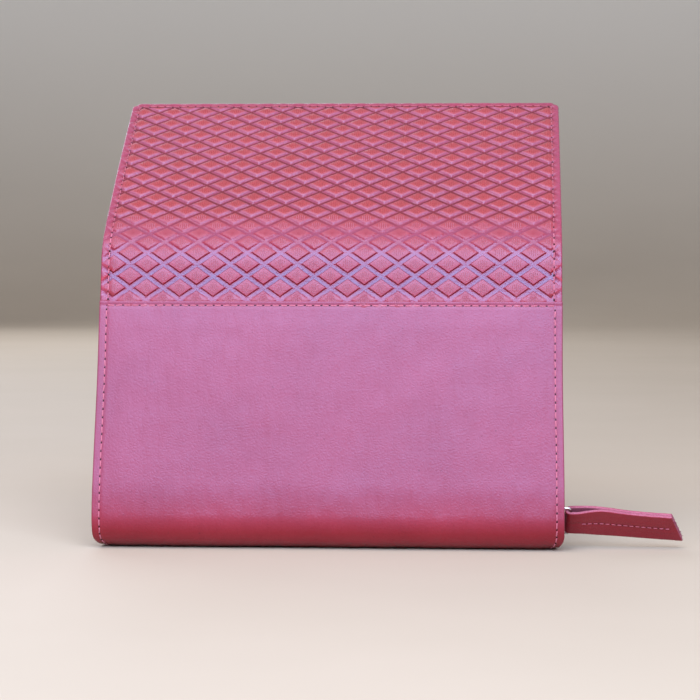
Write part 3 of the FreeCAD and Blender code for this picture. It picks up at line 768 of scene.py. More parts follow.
def lattice_mesh(start, end, half_width, corner):
    """Flat points and faces of a sheet, with mesh lines along the diamonds' edges, cut to outline."""
    cells = np.array(CELL_LINES) - 0.5
    corners = [to_cell(x, e) for x in (-half_width, half_width) for e in (start, end)]
    lines = []
    for values in zip(*corners):
        span = range(int(min(values)) - 1, int(max(values)) + 3)
        lines.append(np.concatenate([cells + k for k in span]))
    x, e = from_cell(*np.meshgrid(*lines, indexing="ij"))
    index = np.arange(x.size).reshape(x.shape)
    quads = np.stack([index[:-1, :-1], index[1:, :-1], index[1:, 1:], index[:-1, 1:]], -1).reshape(-1, 4)
    cx, ce = x.ravel()[quads].mean(1), e.ravel()[quads].mean(1)
    near = (np.abs(cx) < half_width + SPARE) & (ce > start - SPARE) & (ce < end + SPARE)
    used, compact = np.unique(quads[near], return_inverse=True)
    mesh = bpy.data.meshes.new("lattice")
    flat = np.stack([x.ravel()[used], e.ravel()[used], np.zeros(len(used))], -1)
    mesh.from_pydata(flat.tolist(), [], compact.reshape(-1, 4).tolist())
    work = bmesh.new()
    work.from_mesh(mesh)
    bpy.data.meshes.remove(mesh)

    def cut(point, normal, clear):
        bmesh.ops.bisect_plane(work, geom=work.verts[:] + work.edges[:] + work.faces[:], dist=1e-4,
                               plane_co=(*point, 0), plane_no=(*normal, 0), clear_outer=clear)

    for side in (-1, 1):
        cut((side * half_width, 0), (side, 0), True)
        for inset in RIM_LINES:
            cut((side * (half_width - inset), 0), (side, 0), False)
    cut((0, start), (0, -1), True)
    cut((0, end), (0, 1), True)
    if corner:
        for inset in RIM_LINES:
            cut((0, end - inset), (0, 1), False)
        for side in (-1, 1):
            centre = np.array([side * (half_width - corner), end - corner])
            for turn in np.radians(np.arange(7.5, 90, 7.5)):
                normal = np.array([side * math.cos(turn), math.sin(turn)])
                cut(centre + normal * corner, normal, True)
    bmesh.ops.triangulate(work, faces=[f for f in work.faces if len(f.verts) > 4])
    flat = np.array([v.co[:2] for v in work.verts])
    work.verts.index_update()
    faces = [[v.index for v in f.verts] for f in work.faces]
    rim = [(edge.verts[0].index, edge.verts[1].index) for edge in work.edges if edge.is_boundary]
    work.free()
    return flat, faces, rim


def hatch_ridges(start, end, half_width, clear_end):
    """Flat places of short raised lines that run up each pad, longest in its middle."""
    ridges = []
    first, last = (int((at - FIRST_ROW) / PERIOD * 2) for at in (start, end))
    for row in range(first - 2, last + 3):
        for column in range(-COLUMNS, COLUMNS + 1):
            x0 = PAD_CENTRE_X + PITCH * (column + (row % 2) / 2)
            e0 = FIRST_ROW + PERIOD * row / 2
            for line in range(-2, 3):
                x, length = x0 + line * HATCH_SPACING, HATCH_LONGEST * (1 - HATCH_TAPER * abs(line))
                low, high = e0 - length / 2, e0 + length / 2
                if abs(x) < half_width - HATCH_CLEAR and low > start + 0.05 and high < end - clear_end:
                    ridges.append((x, low, high))
    return ridges


def embossed_piece(name, start, end, corner, nodes):
    """A closed embossed sheet with its pad colour and its painted light and shade as vertex colours, and the hatch
    lines on its pads.
    """
    half_width = HALF - EMBOSS_INSET
    flat, faces, rim = lattice_mesh(start, end, half_width, corner)
    x, e = flat[:, 0], flat[:, 1]
    to_side = half_width - np.abs(x)
    if corner:
        cx, ce = np.maximum(np.abs(x) - half_width + corner, 0), np.maximum(e - end + corner, 0)
        round_off = corner - np.hypot(cx, ce)
        to_side = np.where((cx > 0) & (ce > 0), round_off, np.minimum(to_side, end - e))
    groove = groove_at(to_side - STITCH_INSET, *EDGE_GROOVE)
    full = smooth(0.6, 5.0, to_side)
    if corner:
        full = np.minimum(full, smooth(1.5, 7.0, end - e))
    flattened = RIM_RELIEF + (1 - RIM_RELIEF) * full
    inland = smooth(1.5, 5.5, to_side)
    outer = embossed_height(x, e) * flattened + groove - rounded_drop(to_side, EDGE_RADIUS)
    under = np.full_like(outer, -LEATHER)
    count = len(flat)
    walls = [(a, b, b + count, a + count) for a, b in rim]
    below = [[i + count for i in reversed(f)] for f in faces]
    points = [EMBOSSED.bend(x, e, outer), EMBOSSED.bend(x, e, under)]
    pads, _ = pad_share(x, e)
    tints = [pad_tint(x, e, pads, inland), np.zeros((count, 4))]
    pad_values = [pads, np.ones(count)]
    slots = [0] * len(faces) + [1] * (len(below) + len(walls))
    all_faces = faces + below + walls
    places = [flat, flat]
    base = 2 * count
    w = HATCH_WIDTH / 2
    for hx, low, high in hatch_ridges(start, end, half_width, HATCH_CLEAR if corner else 0.05):
        spots = np.array([(hx - w, low), (hx + w, low), (hx, low + HATCH_SLOPE),
                          (hx - w, high), (hx + w, high), (hx, high - HATCH_SLOPE)])
        middle = np.full(6, (low + high) / 2)
        lift = embossed_height(spots[:, 0], middle) + np.array([HATCH_SUNK, HATCH_SUNK, HATCH_HEIGHT] * 2)
        points.append(EMBOSSED.bend(spots[:, 0], spots[:, 1], lift))
        places.append(spots)
        pad_values.append(np.ones(6))
        # each ridge gets a painted highlight colour
        ridge = RIDGE_ORANGE if low > CREASE_2_AT else RIDGE_PINK
        tints.append(np.tile((*ridge, RIDGE_HIGHLIGHT), (6, 1)))
        all_faces += [[base + i for i in face] for face in RIDGE_FACES]
        slots += [0] * len(RIDGE_FACES)
        base += 6
    ob = make_object(name, np.concatenate(points), all_faces, [embossed_hide, raw_edge],
                     np.concatenate(places), slots)
    for layer, kind, key, values in (("pad", "FLOAT", "value", pad_values), ("tint", "FLOAT_COLOR", "color", tints)):
        data = ob.data.attributes.new(layer, kind, "POINT").data
        data.foreach_set(key, np.concatenate(values).astype(np.float32).ravel())
    outward(ob)
    sharpen(ob, 50)
    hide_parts(*nodes)
    return ob


def embossed_cover():
    lower = embossed_piece("embossed_lower", -6.0, BRIDGE_MIDDLE, 0, ["embossed_yoke"])
    blend_at(lower, *LOW_CREASE)
    upper = embossed_piece("embossed_flap", BRIDGE_MIDDLE, EMBOSSED.length, FLAP_CORNER,
                           ["bridge_leather", "flap_leather"])
    blend_at(upper, *HIGH_CREASE)


embossed_cover()


# ---- sewing
THREAD_GAP, THREAD_FLAT, THREAD_LIFT, THREAD_TWIST = 1.1, 0.8, 0.10, 0.045
HOLE_SIZE, HOLE_LIFT = 1.6, 0.02
FINE_THREAD = 0.26


def turns(count):
    return np.arange(count) * 2 * math.pi / count


def tube_faces(rings, around):
    """Side faces of a tube whose points run round one ring after the other."""
    faces = []
    for low in range(0, (rings - 1) * around, around):
        for i in range(around):
            j = (i + 1) % around
            faces.append((low + i, low + j, low + around + j, low + around + i))
    return faces


def capsule(length, radius, around=7):
    """A round-ended peg along its first axis: points and faces."""
    half = length / 2 - radius
    cap = np.linspace(0.25, math.pi / 2, 3)
    stations = [(-half - radius * math.cos(t), radius * math.sin(t)) for t in cap]
    stations += [(-a, r) for a, r in reversed(stations)]
    points = [(a, r * math.cos(t), r * math.sin(t)) for a, r in stations for t in turns(around)]
    last = (len(stations) - 1) * around
    ends = [tuple(range(around))[::-1], tuple(range(last, last + around))]
    return np.array(points), tube_faces(len(stations), around) + ends


def hole_disc(radius, around=8):
    """A needle hole: a low cone over the leather and a deeper one under it."""
    rim = [(radius * math.cos(t), radius * math.sin(t), 0.0) for t in turns(around)]
    faces = [(i, (i + 1) % around, around) for i in range(around)]
    faces += [((i + 1) % around, i, around + 1) for i in range(around)]
    return np.array(rim + [(0, 0, 0.06), (0, 0, -0.25)]), faces


def level(height):
    """A flat surface for sewn_line, at one height."""
    return lambda x, e: np.full(np.shape(x), height)


def stations_along(path, spacing, phase=0.5):
    """Evenly spaced places and directions along a flat path of (x, e) corners."""
    path = np.array(path, float)
    steps = np.diff(path, axis=0)
    lengths = np.linalg.norm(steps, axis=1)
    total = lengths.sum()
    count = max(1, int(round(total / spacing)))
    at = (np.arange(count) + phase) * total / count
    bounds = np.r_[0, np.cumsum(lengths)]
    spots, directions = [], []
    for s in at:
        i = min(int(np.searchsorted(bounds, s, side="right")) - 1, len(steps) - 1)
        spots.append(path[i] + steps[i] * (s - bounds[i]) / lengths[i])
        directions.append(steps[i] / lengths[i])
    return np.array(spots), np.array(directions)


def place_copies(points, faces, spots, directions, heights, bend, jitter=0.0, seed=1):
    """Copies of a small shape at flat places, turned along the path, bent onto the outline."""
    angles = np.random.default_rng(seed).normal(0, jitter, len(spots))
    all_points, all_faces = [], []
    for i, (spot, direction) in enumerate(zip(spots, directions)):
        c, s = math.cos(angles[i]), math.sin(angles[i])
        ahead = np.array([direction[0] * c - direction[1] * s, direction[0] * s + direction[1] * c])
        across = np.array([-ahead[1], ahead[0]])
        flat = spot + points[:, :1] * ahead + points[:, 1:2] * across
        all_points.append(bend(flat[:, 0], flat[:, 1], heights[i] + points[:, 2]))
        all_faces += [tuple(j + i * len(points) for j in f) for f in faces]
    return np.concatenate(all_points), all_faces


def sewn_line(name, paths, outline, surface, seed, thread_radius=THREAD, pitch=STITCH, stuff=None):
    """Threads and needle holes along flat paths; surface(x, e) is the hide's height there."""
    peg, peg_faces = capsule(pitch - THREAD_GAP, thread_radius)
    peg = peg * np.array([1, 1, THREAD_FLAT])
    hole, hole_faces = hole_disc(HOLE_SIZE * thread_radius)
    points, faces, slots, base = [], [], [], 0
    kinds = ((peg, peg_faces, 0.5, THREAD_LIFT, THREAD_TWIST), (hole, hole_faces, 0.0, HOLE_LIFT, 0.0))
    for slot, (shape, shape_faces, phase, lift, jitter) in enumerate(kinds):
        for path in paths:
            spots, directions = stations_along(path, pitch, phase)
            heights = surface(spots[:, 0], spots[:, 1]) + lift
            more, more_faces = place_copies(shape, shape_faces, spots, directions, heights, outline.bend,
                                            jitter, seed)
            points.append(more)
            faces += [tuple(i + base for i in f) for f in more_faces]
            slots += [slot] * len(more_faces)
            base += len(more)
    return make_object(name, np.concatenate(points), faces, [stuff or thread, needle_hole], face_slots=slots)


def embossed_surface(x, e):
    """Where stitches lie on the embossing: they bridge the bands between pads."""
    to_side = HALF - EMBOSS_INSET - np.abs(x)
    return np.maximum(embossed_height(x, e) * 0.6, -0.15) + groove_at(to_side - STITCH_INSET, 0.2, EDGE_GROOVE[1])


def side_path(side, start, end):
    """A stitching line that follows the cover's side."""
    return [(side * (spine_half_width(e) - STITCH_INSET + 0.3), e) for e in np.arange(start, end + 0.5, 2.0)]


def sewing():
    """The seam, the side lines and the flap's edge line."""
    edge = HALF - EMBOSS_INSET - STITCH_INSET
    seam_edge = HALF - STITCH_INSET
    seam = [(-seam_edge, SEAM_STITCH), (seam_edge, SEAM_STITCH)]
    sides = [side_path(s, SEAM_STITCH + STITCH / 2, FRONT_SPLIT) for s in (-1, 1)]
    back = sewn_line("thread_back", [seam] + sides, PLAIN, plain_height, 3)
    top = PLAIN.length - STITCH_INSET
    front_line = (side_path(-1, FRONT_SPLIT, top - 2.5) + [(-seam_edge + 2, top), (seam_edge - 2, top)]
                  + side_path(1, FRONT_SPLIT, top - 2.5)[::-1])
    front = sewn_line("thread_front", [front_line], PLAIN, plain_height, 5)
    blend_at(front, PLAIN, HINGE_AT, HINGE_REACH, "back", "front")
    lower = sewn_line("thread_lower", [[(s * edge, 0.8), (s * edge, BRIDGE_MIDDLE)] for s in (-1, 1)],
                      EMBOSSED, embossed_surface, 7)
    blend_at(lower, *LOW_CREASE)
    flap_line = u_path(edge, BRIDGE_MIDDLE, EMBOSSED.length - STITCH_INSET, 1.5)
    upper = sewn_line("thread_flap", [flap_line], EMBOSSED, embossed_surface, 9, FINE_THREAD, stuff=flap_thread)
    blend_at(upper, *HIGH_CREASE)
    dress("plain_leather", [back], body="back")
    dress("plain_leather", [front])
    dress("embossed_leather", [lower, upper])


sewing()


# ---- linings
COVER_LINING_HALF = HALF - 2.0


def flat_height(x, e):
    return fractal(x, e, 30.0, 31.0) * 0.05


def cover_linings():
    """Cloth inside the two covers, sewn round its edges."""
    at_hinge = distance_along(LINED, HINGES["front_cover_hinge"][1:])
    split = at_hinge - HINGE_REACH - 0.5
    shared = (lambda e: COVER_LINING_HALF, flat_height, LINING, [lining_cloth], 3.0)
    back = sheet_piece("cloth_back", LINED, 0.0, split, *shared, edge=0.2, even=True)
    front = sheet_piece("cloth_front", LINED, split, LINED.length, *shared, corner=4.5, edge=0.2,
                        round_end=True, even=True)
    seam_at = HALF - STITCH_INSET
    sides = [[(s * seam_at, 2.0), (s * seam_at, split)] for s in (-1, 1)]
    back_seam = sewn_line("thread_cloth_back", sides, LINED, flat_height, 13)
    around = u_path(seam_at, split, LINED.length - 2.0, 2.5)
    front_seam = sewn_line("thread_cloth_front", [around], LINED, flat_height, 15)
    for ob in (front, front_seam):
        blend_at(ob, LINED, at_hinge, HINGE_REACH, "back", "front")
    dress("lining", [back, back_seam], "back_lining", "back")
    dress("lining", [front, front_seam], "front_lining")


cover_linings()


def soft_linings():
    """Cloth inside the bridge and the flap."""
    inner = HALF - EMBOSS_INSET - LINING_INSET
    shared = (lambda e: inner, flat_height, LINING + 0.1, [lining_cloth], 4.0)
    face = -LEATHER + 0.1
    lower = sheet_piece("lining_bridge", EMBOSSED, LINING_START, BRIDGE_MIDDLE, *shared, edge=0.2, base=face)
    blend_at(lower, *LOW_CREASE)
    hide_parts("bridge_lining")
    upper = sheet_piece("lining_flap", EMBOSSED, BRIDGE_MIDDLE, EMBOSSED.length - LINING_INSET, *shared,
                        corner=4.0, edge=0.2, base=face, round_end=True)
    blend_at(upper, *HIGH_CREASE)
    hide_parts("flap_lining")
    line = u_path(HALF - EMBOSS_INSET - STITCH_INSET, BRIDGE_MIDDLE, EMBOSSED.length - STITCH_INSET, 1.5)
    under = Outline(EMBOSSED.points, -1)
    seam = sewn_line("thread_lining_flap", [line], under, level(LEATHER + LINING), 19)
    blend_at(seam, *HIGH_CREASE)
    dress("lining", [lower, upper, seam])


soft_linings()


# ---- pockets
POCKET_SHEET, POCKET_LIFT = 0.6, 1.2
POCKET_START, POCKET_END, POCKET_HALF, POCKET_CORNER = 63.6, 122.9, 104.2, 11.0
CARD_HALF, CARD_END, CARD_CORNER = 101.5, 121.45, 9.0
SLOT_START, SLOT_HEIGHT, SLOT_STEP, SLOT_HALF, SLOT_SHEET = 64.5, 40.0, 14.0, 48.0, 0.5
POCKET_SEAM, HEM = 1.3, 2.3


def pocket_height(x, e):
    """A pocket stands up over the notebook's card inside it, and its open edge is hemmed."""
    in_x, in_e = CARD_HALF - np.abs(x), CARD_END - e
    round_x, round_e = np.maximum(CARD_CORNER - in_x, 0), np.maximum(CARD_CORNER - in_e, 0)
    inside = np.where((round_x > 0) & (round_e > 0), CARD_CORNER - np.hypot(round_x, round_e),
                      np.minimum(in_x, in_e))
    hem = groove_at(e - POCKET_START - HEM, 0.10, 0.5)
    return POCKET_LIFT * smooth(-0.9, 0.1, inside) + hem + fractal(x, e, 24.0, 61.0) * 0.05


def slot_height(high):
    """A card slot's face, with a line pressed along its open edge."""
    def height(x, e):
        return fractal(x, e, 18.0, 67.0) * 0.04 + groove_at(high - e - HEM, 0.10, 0.4)
    return height


def pocket(outline, body, seed):
    """A slip pocket sewn down on three sides, with a hemmed open edge towards the spine."""
    name = "pocket_" + body
    sheet = sheet_piece(name, outline, POCKET_START, POCKET_END, lambda e: POCKET_HALF, pocket_height, POCKET_SHEET,
                        [pocket_leather], step=3.0, corner=POCKET_CORNER, edge=0.25, round_start=True,
                        round_end=True, base=POCKET_SHEET, even=True)
    side, top = POCKET_HALF - POCKET_SEAM, POCKET_END - POCKET_SEAM
    around = rounded([(-side, POCKET_START + HEM), (-side, top), (side, top), (side, POCKET_START + HEM)],
                     [POCKET_CORNER - POCKET_SEAM] * 2, step=1.0)
    hem = [(-side, POCKET_START + HEM), (side, POCKET_START + HEM)]
    seam = sewn_line("thread_" + name, [around, hem], outline, lambda x, e: POCKET_SHEET + pocket_height(x, e), seed)
    dress("pocket", [sheet, seam], body + "_slip_pocket", body)


def card_slots():
    """Two card slots sewn on the front cover's pocket, the lower one lying on the upper one."""
    for layer, node in enumerate(("card_pocket_upper", "card_pocket_lower")):
        high = SLOT_START + SLOT_HEIGHT - layer * SLOT_STEP
        height, face = slot_height(high), POCKET_SHEET + POCKET_LIFT + (layer + 1) * SLOT_SHEET
        sheet = sheet_piece(node + "_sheet", FRONT_INSIDE, SLOT_START, high, lambda e: SLOT_HALF, height,
                            SLOT_SHEET, [pocket_leather], step=2.5, edge=0.22, round_start=True, round_end=True,
                            base=face, even=True)
        side, low = SLOT_HALF - POCKET_SEAM, SLOT_START + POCKET_SEAM
        line = [(-side, high - POCKET_SEAM), (-side, low), (side, low), (side, high - POCKET_SEAM)]
        seam = sewn_line("thread_" + node, [line], FRONT_INSIDE, lambda x, e: face + height(x, e), 23 + layer,
                         FINE_THREAD)
        dress("pocket", [sheet, seam], node, "front")


pocket(BACK_INSIDE, "back", 27)
pocket(FRONT_INSIDE, "front", 29)
card_slots()


# ---- zip puller
PULL_TILT, PULL_DROOP = -40.0, 3.3
PULL_LENGTH, PULL_HALF, PULL_LAYER, PULL_SLANT = 55.0, 7.75, 1.6, 6.5
PULL_GAP, PULL_LOOP_GAP, PULL_CLOSED_AT = 0.84, 2.15, 17.0
PULL_RISE, PULL_END_RISE, PULL_PINCH, PULL_HUMP, PULL_STITCH = 1.3, 0.4, 1.3, 1.3, 2.9
FIBRES, FIBRE_RADIUS = 150, 0.09         # fuzz on the strip's cut end
RING_BAR = HINGES["puller_swing"]


def puller_outline():
    """The folded strip from above: in along one layer, round the ring's bar and out along the other."""
    out = np.linspace(PULL_LENGTH, 0.2, 120)
    gap = PULL_GAP + (PULL_LOOP_GAP - PULL_GAP) * (1 - smooth(2.0, PULL_CLOSED_AT, out))
    turn = np.radians(np.linspace(-90, 90, 40)[1:-1])
    loop = np.stack([-PULL_LOOP_GAP * np.cos(turn), PULL_LOOP_GAP * np.sin(turn)], -1)
    layers = [np.stack([out, side * gap], -1)[::-side] for side in (-1, 1)]
    return Outline(np.concatenate([layers[0], loop, layers[1]]), 1)


def onto_ring(ob):
    """From (across, along, through) millimetres to the drooping, tilted place on the ring."""
    turn = Matrix.Rotation(math.radians(PULL_DROOP), 3, "Y") @ Matrix.Rotation(math.radians(-PULL_TILT), 3, "X")
    across, ahead, through = np.array([v.co for v in ob.data.vertices]).T / MM
    rise = PULL_END_RISE + (PULL_RISE - PULL_END_RISE) * smooth(46.0, 8.0, ahead) * smooth(-4.0, 9.0, ahead)
    local = np.stack([ahead, through, across + rise], -1)
    placed = (local @ np.array(turn).T + RING_BAR) * MM
    ob.data.vertices.foreach_set("co", placed.astype(np.float32).ravel())
    ob.data.update()
    dress("puller_leather", [outward(ob)], body="puller")


def shaped_strip(outline):
    """Both layers end on one slant, and the strip is pinched at the ring and fuller beside it."""
    def warp(x, e):
        from_end = np.minimum(e, outline.length - e)
        up = (x + PULL_HALF) / (2 * PULL_HALF)
        shift = PULL_SLANT * up * smooth(24.0, 0.0, from_end)
        ahead = PULL_LENGTH - from_end
        pinch = smooth(15.0, 1.0, ahead)
        fuller = np.exp(-((ahead - 15.0) / 9.0) ** 2)
        x = x + pinch * (PULL_PINCH * (1 - up) - 0.6 * up) + PULL_HUMP * fuller * (up - 0.3)
        return x, e + np.where(e < outline.length / 2, shift, -shift)
    return warp


def puller():
    """The folded strip, its line of stitches and the fuzz on its cut end."""
    outline = puller_outline()

    def height(x, e):
        groove = groove_at(x, 0.22, 0.8) * smooth(2, 6, np.minimum(e, outline.length - e))
        return groove + fractal(x, e, 6.0, 41.0) * 0.12

    strip = sheet_piece("puller_strip", outline, 0.0, outline.length, lambda e: PULL_HALF, height, PULL_LAYER,
                        [puller_hide, raw_edge], step=0.7, edge=0.3, base=PULL_LAYER / 2, warp=shaped_strip(outline),
                        rough_rim=0.16)
    onto_ring(strip)
    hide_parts("leather_puller")
    first, last = 6.5, PULL_LENGTH - 5.0
    lines = [[(0.0, first), (0.0, last)], [(0.0, outline.length - last), (0.0, outline.length - first)]]
    onto_ring(sewn_line("puller_thread", lines, outline, level(PULL_LAYER / 2 - 0.12), 11, 0.2, PULL_STITCH))
    rng = np.random.default_rng(17)
    points, faces = [], []
    for i in range(FIBRES):
        across = rng.uniform(-PULL_HALF + 0.2, PULL_HALF - 0.2)
        start = np.array([across, PULL_LENGTH - PULL_SLANT * (across + PULL_HALF) / (2 * PULL_HALF) - 0.3,
                          rng.uniform(-PULL_LAYER - 0.1, PULL_LAYER + 0.1)])
        tip = start + np.array([rng.normal(0, 0.5), rng.uniform(0.5, 1.5), rng.normal(0, 0.45)])
        foot = [start + FIBRE_RADIUS * np.array([math.cos(t), 0, math.sin(t)]) for t in (0, 2.1, 4.2)]
        points += foot + [tip]
        faces += [[4 * i + k for k in face] for face in ((0, 1, 3), (1, 2, 3), (2, 0, 3), (2, 1, 0))]
    onto_ring(make_object("puller_fuzz", np.array(points), faces, [flesh_side]))


puller()


# ---- zip coil
ZIP_INSET, ZIP_CORNER, ZIP_LOW, FRONT_ZIP_LOW = 9.0, 12.0, -8.2, 5.0
TOOTH_PITCH, TOOTH_RADIUS, COIL_WIDTH, COIL_DEPTH, COIL_MIDDLE = 1.35, 0.47, 3.2, 1.9, 1.75
CORE_AROUND, CORE_WIDTH, CORE_DEPTH = 8, 1.05, 0.6


def zip_path(low, out=0.0, step=0.5):
    """The zip's middle line in its own plane, or one outside it: up a side, along the fore edge and down."""
    side, top = HALF - ZIP_INSET + out, PANEL_LENGTH - ZIP_INSET + out
    return rounded([(-side, low), (-side, top), (side, top), (side, low)], [ZIP_CORNER + out] * 2, step)


def zip_coil(low, side, body):
    """One half of the zip's coil: rounded teeth across a core."""
    spots, directions = stations_along(zip_path(low), TOOTH_PITCH)
    across = np.stack([-directions[:, 1], directions[:, 0]], -1)
    tooth, tooth_faces = capsule(COIL_WIDTH, TOOTH_RADIUS, 6)
    tooth = tooth * np.array([1, 1, COIL_DEPTH / 2 / TOOTH_RADIUS])

    def bend(x, s, depth):
        plane = MIDDLE[:, None] + np.outer(along(MID_LEAN), s) + np.outer(inward(MID_LEAN), side * depth)
        return np.stack([x, plane[0], plane[1]], -1)

    points, faces = place_copies(tooth, tooth_faces, spots, across, np.full(len(spots), COIL_MIDDLE), bend)
    path, rings = zip_path(low), []
    for t in turns(CORE_AROUND):
        flat = path + normals_of(path) * CORE_WIDTH * math.cos(t)
        rings.append(bend(flat[:, 0], flat[:, 1], COIL_MIDDLE + CORE_DEPTH * math.sin(t)))
    core = np.stack(rings, 1).reshape(-1, 3)
    last = len(core) - CORE_AROUND
    core_faces = tube_faces(len(path), CORE_AROUND)
    core_faces += [tuple(range(CORE_AROUND)), tuple(range(last, len(core)))[::-1]]
    faces += [tuple(len(points) + i for i in face) for face in core_faces]
    ob = outward(make_object("zip_teeth_" + body, np.concatenate([points, core]), faces, [coil_nylon]))
    dress("zip_coil", [ob], "zip_coil_" + body, body)


zip_coil(ZIP_LOW, -1, "back")
zip_coil(FRONT_ZIP_LOW, 1, "front")

TAPE_HALF, TAPE_FLANGE, TAPE_SEAM = 0.32, 4.1, 2.7
FLANGE_ROWS = ((TAPE_FLANGE, 0.30), (TAPE_SEAM, 0.34), (1.3, 0.36), (0.6, 0.48), (0.2, 0.78))
WALL_ROWS, WALL_FOOT = 6, 1.15


class ZipSide:
    """Bends flat points (x, distance up the zip's plane, height above the lining) onto one half."""

    def __init__(self, side):
        points = LINED.points - MIDDLE
        out = side * (points @ inward(MID_LEAN))
        up = (points @ along(MID_LEAN))[out > 0]
        order = np.argsort(up)
        self.side, self.up, self.out = side, up[order], out[out > 0][order]

    def depth(self, up):
        return np.interp(up, self.up, self.out)

    def bend(self, x, up, height):
        out = self.side * (self.depth(up) - height)
        plane = MIDDLE + np.multiply.outer(up, along(MID_LEAN)) + np.multiply.outer(out, inward(MID_LEAN))
        return np.concatenate([np.asarray(x)[..., None], plane], -1)


def zip_tape(low, side, body, seed):
    """The zip's cloth: a flange sewn flat on the lining, turned up into a wall that carries the coil."""
    name = "tape_" + body
    half = ZipSide(side)
    path = zip_path(low)
    outwards = normals_of(path)
    travel = np.r_[0, np.cumsum(np.linalg.norm(np.diff(path, axis=0), axis=1))]
    top = np.maximum(half.depth(path[:, 1]) - COIL_MIDDLE, WALL_FOOT + 0.2)
    offsets = [np.full(len(path), offset) for offset, _ in FLANGE_ROWS]
    lifts = [np.full(len(path), lift) for _, lift in FLANGE_ROWS]
    for share in np.linspace(0, 1, WALL_ROWS):
        offsets.append(fractal(travel, np.full(len(path), share * 9.0), 14.0, 71.0) * 0.22 * share * (1 - share) * 4)
        lifts.append(WALL_FOOT + (top - WALL_FOOT) * share)
    offsets, lifts = np.array(offsets), np.array(lifts)
    d_offset, d_lift = np.gradient(offsets, axis=0), np.gradient(lifts, axis=0)
    size = np.hypot(d_offset, d_lift)
    across, over = d_lift / size * TAPE_HALF, -d_offset / size * TAPE_HALF
    rings = []
    for sign in (1, -1):
        o, h = offsets + sign * across, lifts + sign * over
        x, up = path[:, 0] + outwards[:, 0] * o, path[:, 1] + outwards[:, 1] * o
        rings.append(half.bend(x, up, h)[::sign])
    ring = np.concatenate(rings)
    rows, count = ring.shape[:2]
    index = np.arange(rows * count).reshape(rows, count)
    ahead = np.roll(index, -1, axis=0)
    faces = np.stack([index[:, :-1], index[:, 1:], ahead[:, 1:], ahead[:, :-1]], -1).reshape(-1, 4).tolist()
    for end in (0, -1):
        pairs = np.stack([index[:rows // 2, end], index[::-1, end][:rows // 2]], -1)
        faces += [[a[0], b[0], b[1], a[1]] for a, b in zip(pairs, pairs[1:])]
    tape = outward(make_object(name, ring.reshape(-1, 3), faces, [zip_cloth]))
    sharpen(tape, 50)
    line = zip_path(low, TAPE_SEAM, 1.0)
    seam = sewn_line("thread_" + name, [line], half, level(0.34 + TAPE_HALF), seed)
    dress("zip_tape", [tape, seam], "zip_tape_" + body, body)


zip_tape(ZIP_LOW, -1, "back", 33)
zip_tape(FRONT_ZIP_LOW, 1, "front", 35)


# ---- plain parts: the CAD's own shapes with finer edges and better materials
def softened(node, material, body, slot, width):
    """A copy of a CAD node with its edges rounded off by a few tenths of a millimetre."""
    source = frame["nodes"][node]
    ob = link(bpy.data.objects.new(node + "_fine", source.data.copy()))
    ob.matrix_world = source.matrix_world
    work = bmesh.new()
    work.from_mesh(ob.data)
    bmesh.ops.remove_doubles(work, verts=work.verts, dist=1e-6)
    bmesh.ops.dissolve_limit(work, angle_limit=math.radians(1), verts=work.verts, edges=work.edges)
    sharp = [e for e in work.edges if len(e.link_faces) == 2 and e.calc_face_angle() > math.radians(35)]
    bmesh.ops.bevel(work, geom=sharp, offset=width * MM, segments=3, affect="EDGES", profile=0.5,
                    clamp_overlap=True)
    work.to_mesh(ob.data)
    work.free()
    ob.data.materials.clear()
    ob.data.materials.append(material)
    ob.data.polygons.foreach_set("use_smooth", np.full(len(ob.data.polygons), True))
    sharpen(ob, 30)
    dress(slot, [ob], node, body)


def plain_parts():
    """The hard parts and the notebook, and materials for the CAD parts that stay as they are."""
    for node, material, body, slot, width in (
            ("slider_body", nickel, "slider", "nickel", 0.25),
            ("pull_tab", nickel, "tab", "nickel", 0.12),
            ("zip_stops", nickel, "back", "nickel", 0.3),
            ("page_block", cream_paper, "back", "paper", 0.35),
            ("notebook_back_card", kraft_card, "back", "card", 0.2),
            ("notebook_front_card", kraft_card, "front", "card", 0.2),
            ("notebook_spine", kraft_card, "back", "card", 0.25)):
        softened(node, material, body, slot, width)
    kept = {"back_board": grey_board, "front_board": grey_board, "spine_stay": grey_board,
            "cover_magnets": magnet_plate, "flap_magnets": magnet_plate, "pull_ring": nickel}
    for node, material in kept.items():
        for slot in frame["nodes"][node].material_slots:
            slot.material = material


plain_parts()

# ---- floor, light and camera
CAMERA_PLACE = (86.6, -1217.0, 162.0)
CAMERA_YAW, CAMERA_PITCH = 3.585, 3.08
CAMERA_LENS, SENSOR_WIDTH = 128.9, 36.0
NEAREST, FURTHEST = 0.05, 50
# name, place, target, size, power and colour
LIGHTS = (("front_sky", (0.15, -1.5, 1.2), (0, 0, 0.08), (2.4, 1.25), 110, (0.46, 0.60, 0.88)),
          ("overhead", (-0.2, -0.55, 1.6), (0, 0, 0.1), (1.6, 0.9), 20, (0.90, 0.86, 0.95)),
          ("rear_sky", (-0.9, 1.9, 1.0), (0, 0, 0.06), (1.8, 1.2), 24, (0.72, 0.80, 0.95)))
SKY_STRENGTH = 0.8
FLOOR_SIZE, WALL_AT, SWEEP = 4500.0, 4200.0, 1800.0
SKY = ((0.0, (0.10, 0.09, 0.09)), (0.15, (0.22, 0.22, 0.24)), (0.6, (0.58, 0.63, 0.74)), (1.0, (0.66, 0.68, 0.72)))


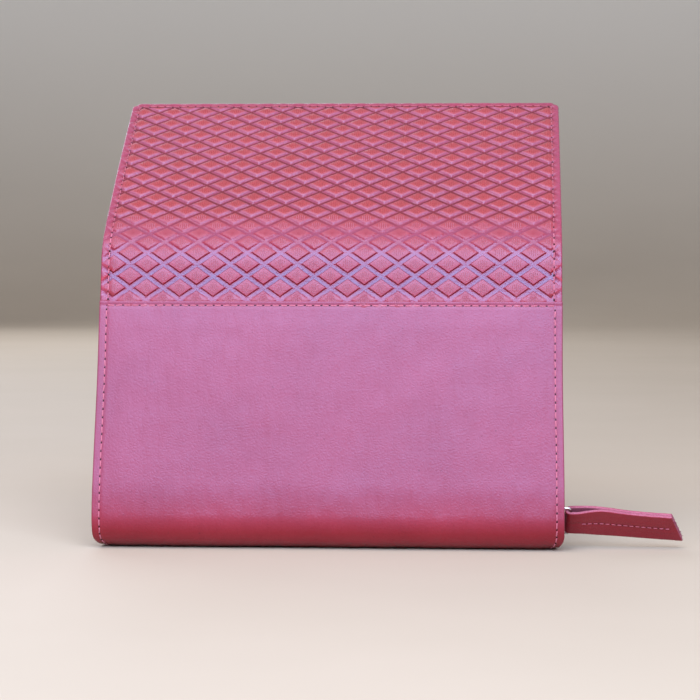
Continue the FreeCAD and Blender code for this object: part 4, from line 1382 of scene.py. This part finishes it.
def floor():
    """A pale sheet, flat under the part and curving up into a paler wall far behind it."""
    n = Nodes("pale_floor")
    where = n.place(uv=False)
    colour = n.ramp(n.noise(where, 3.0, 3.0), [(0.3, (0.42, 0.325, 0.225)), (0.7, (0.45, 0.35, 0.245))])
    height = n.add("ShaderNodeSeparateXYZ")
    n.link(where, height.inputs["Vector"])
    colour = n.mix(n.range(height.outputs["Z"], 0.0, 1.0, 0.0, 0.7), colour, (0.86, 0.76, 0.62))
    n.bump([(n.noise(where, 60.0, 4.0), 0.05, 0.0005)])
    material = n.finish(colour, n.range(n.noise(where, 8.0), 0.7, 0.8))
    profile = rounded([(-FLOOR_SIZE, 0), (WALL_AT, 0), (WALL_AT, FLOOR_SIZE)], [SWEEP], step=60)
    points = [(x, y, z) for y, z in profile for x in (-FLOOR_SIZE, FLOOR_SIZE)]
    faces = [(2 * i, 2 * i + 1, 2 * i + 3, 2 * i + 2) for i in range(len(profile) - 1)]
    make_object("studio_floor", points, faces, [material])


def area_light(name, place, target, size, power, colour):
    """A rectangular lamp that points at a target, all in metres."""
    data = bpy.data.lights.new(name, "AREA")
    data.shape, data.size, data.size_y = "RECTANGLE", size[0], size[1]
    data.energy, data.color = power, colour
    ob = link(bpy.data.objects.new(name, data))
    ob.location = place
    ob.rotation_euler = (Vector(target) - Vector(place)).to_track_quat("-Z", "Y").to_euler()


def sky():
    """A soft sky: bright overhead, dim at the horizon."""
    world = bpy.data.worlds.new("studio")
    world.use_nodes = True
    nodes, links = world.node_tree.nodes, world.node_tree.links
    parts = nodes.new("ShaderNodeSeparateXYZ")
    links.new(nodes.new("ShaderNodeTexCoord").outputs["Generated"], parts.inputs["Vector"])
    ramp = nodes.new("ShaderNodeValToRGB")
    set_stops(ramp.color_ramp, SKY)
    links.new(parts.outputs["Z"], ramp.inputs["Fac"])
    links.new(ramp.outputs["Color"], nodes["Background"].inputs["Color"])
    nodes["Background"].inputs["Strength"].default_value = SKY_STRENGTH
    bpy.context.scene.world = world


def studio():
    """The backdrop, lights and camera."""
    floor()
    sky()
    for light in LIGHTS:
        area_light(*light)
    data = bpy.data.cameras.new("camera")
    data.lens, data.sensor_width = CAMERA_LENS, SENSOR_WIDTH
    data.clip_start, data.clip_end = NEAREST, FURTHEST
    camera = link(bpy.data.objects.new("camera", data))
    camera.location = [c * MM for c in CAMERA_PLACE]
    camera.rotation_euler = Euler((math.radians(90 - CAMERA_PITCH), 0, math.radians(CAMERA_YAW)))
    bpy.context.scene.camera = camera
    bpy.context.scene.view_settings.view_transform = "Standard"


studio()
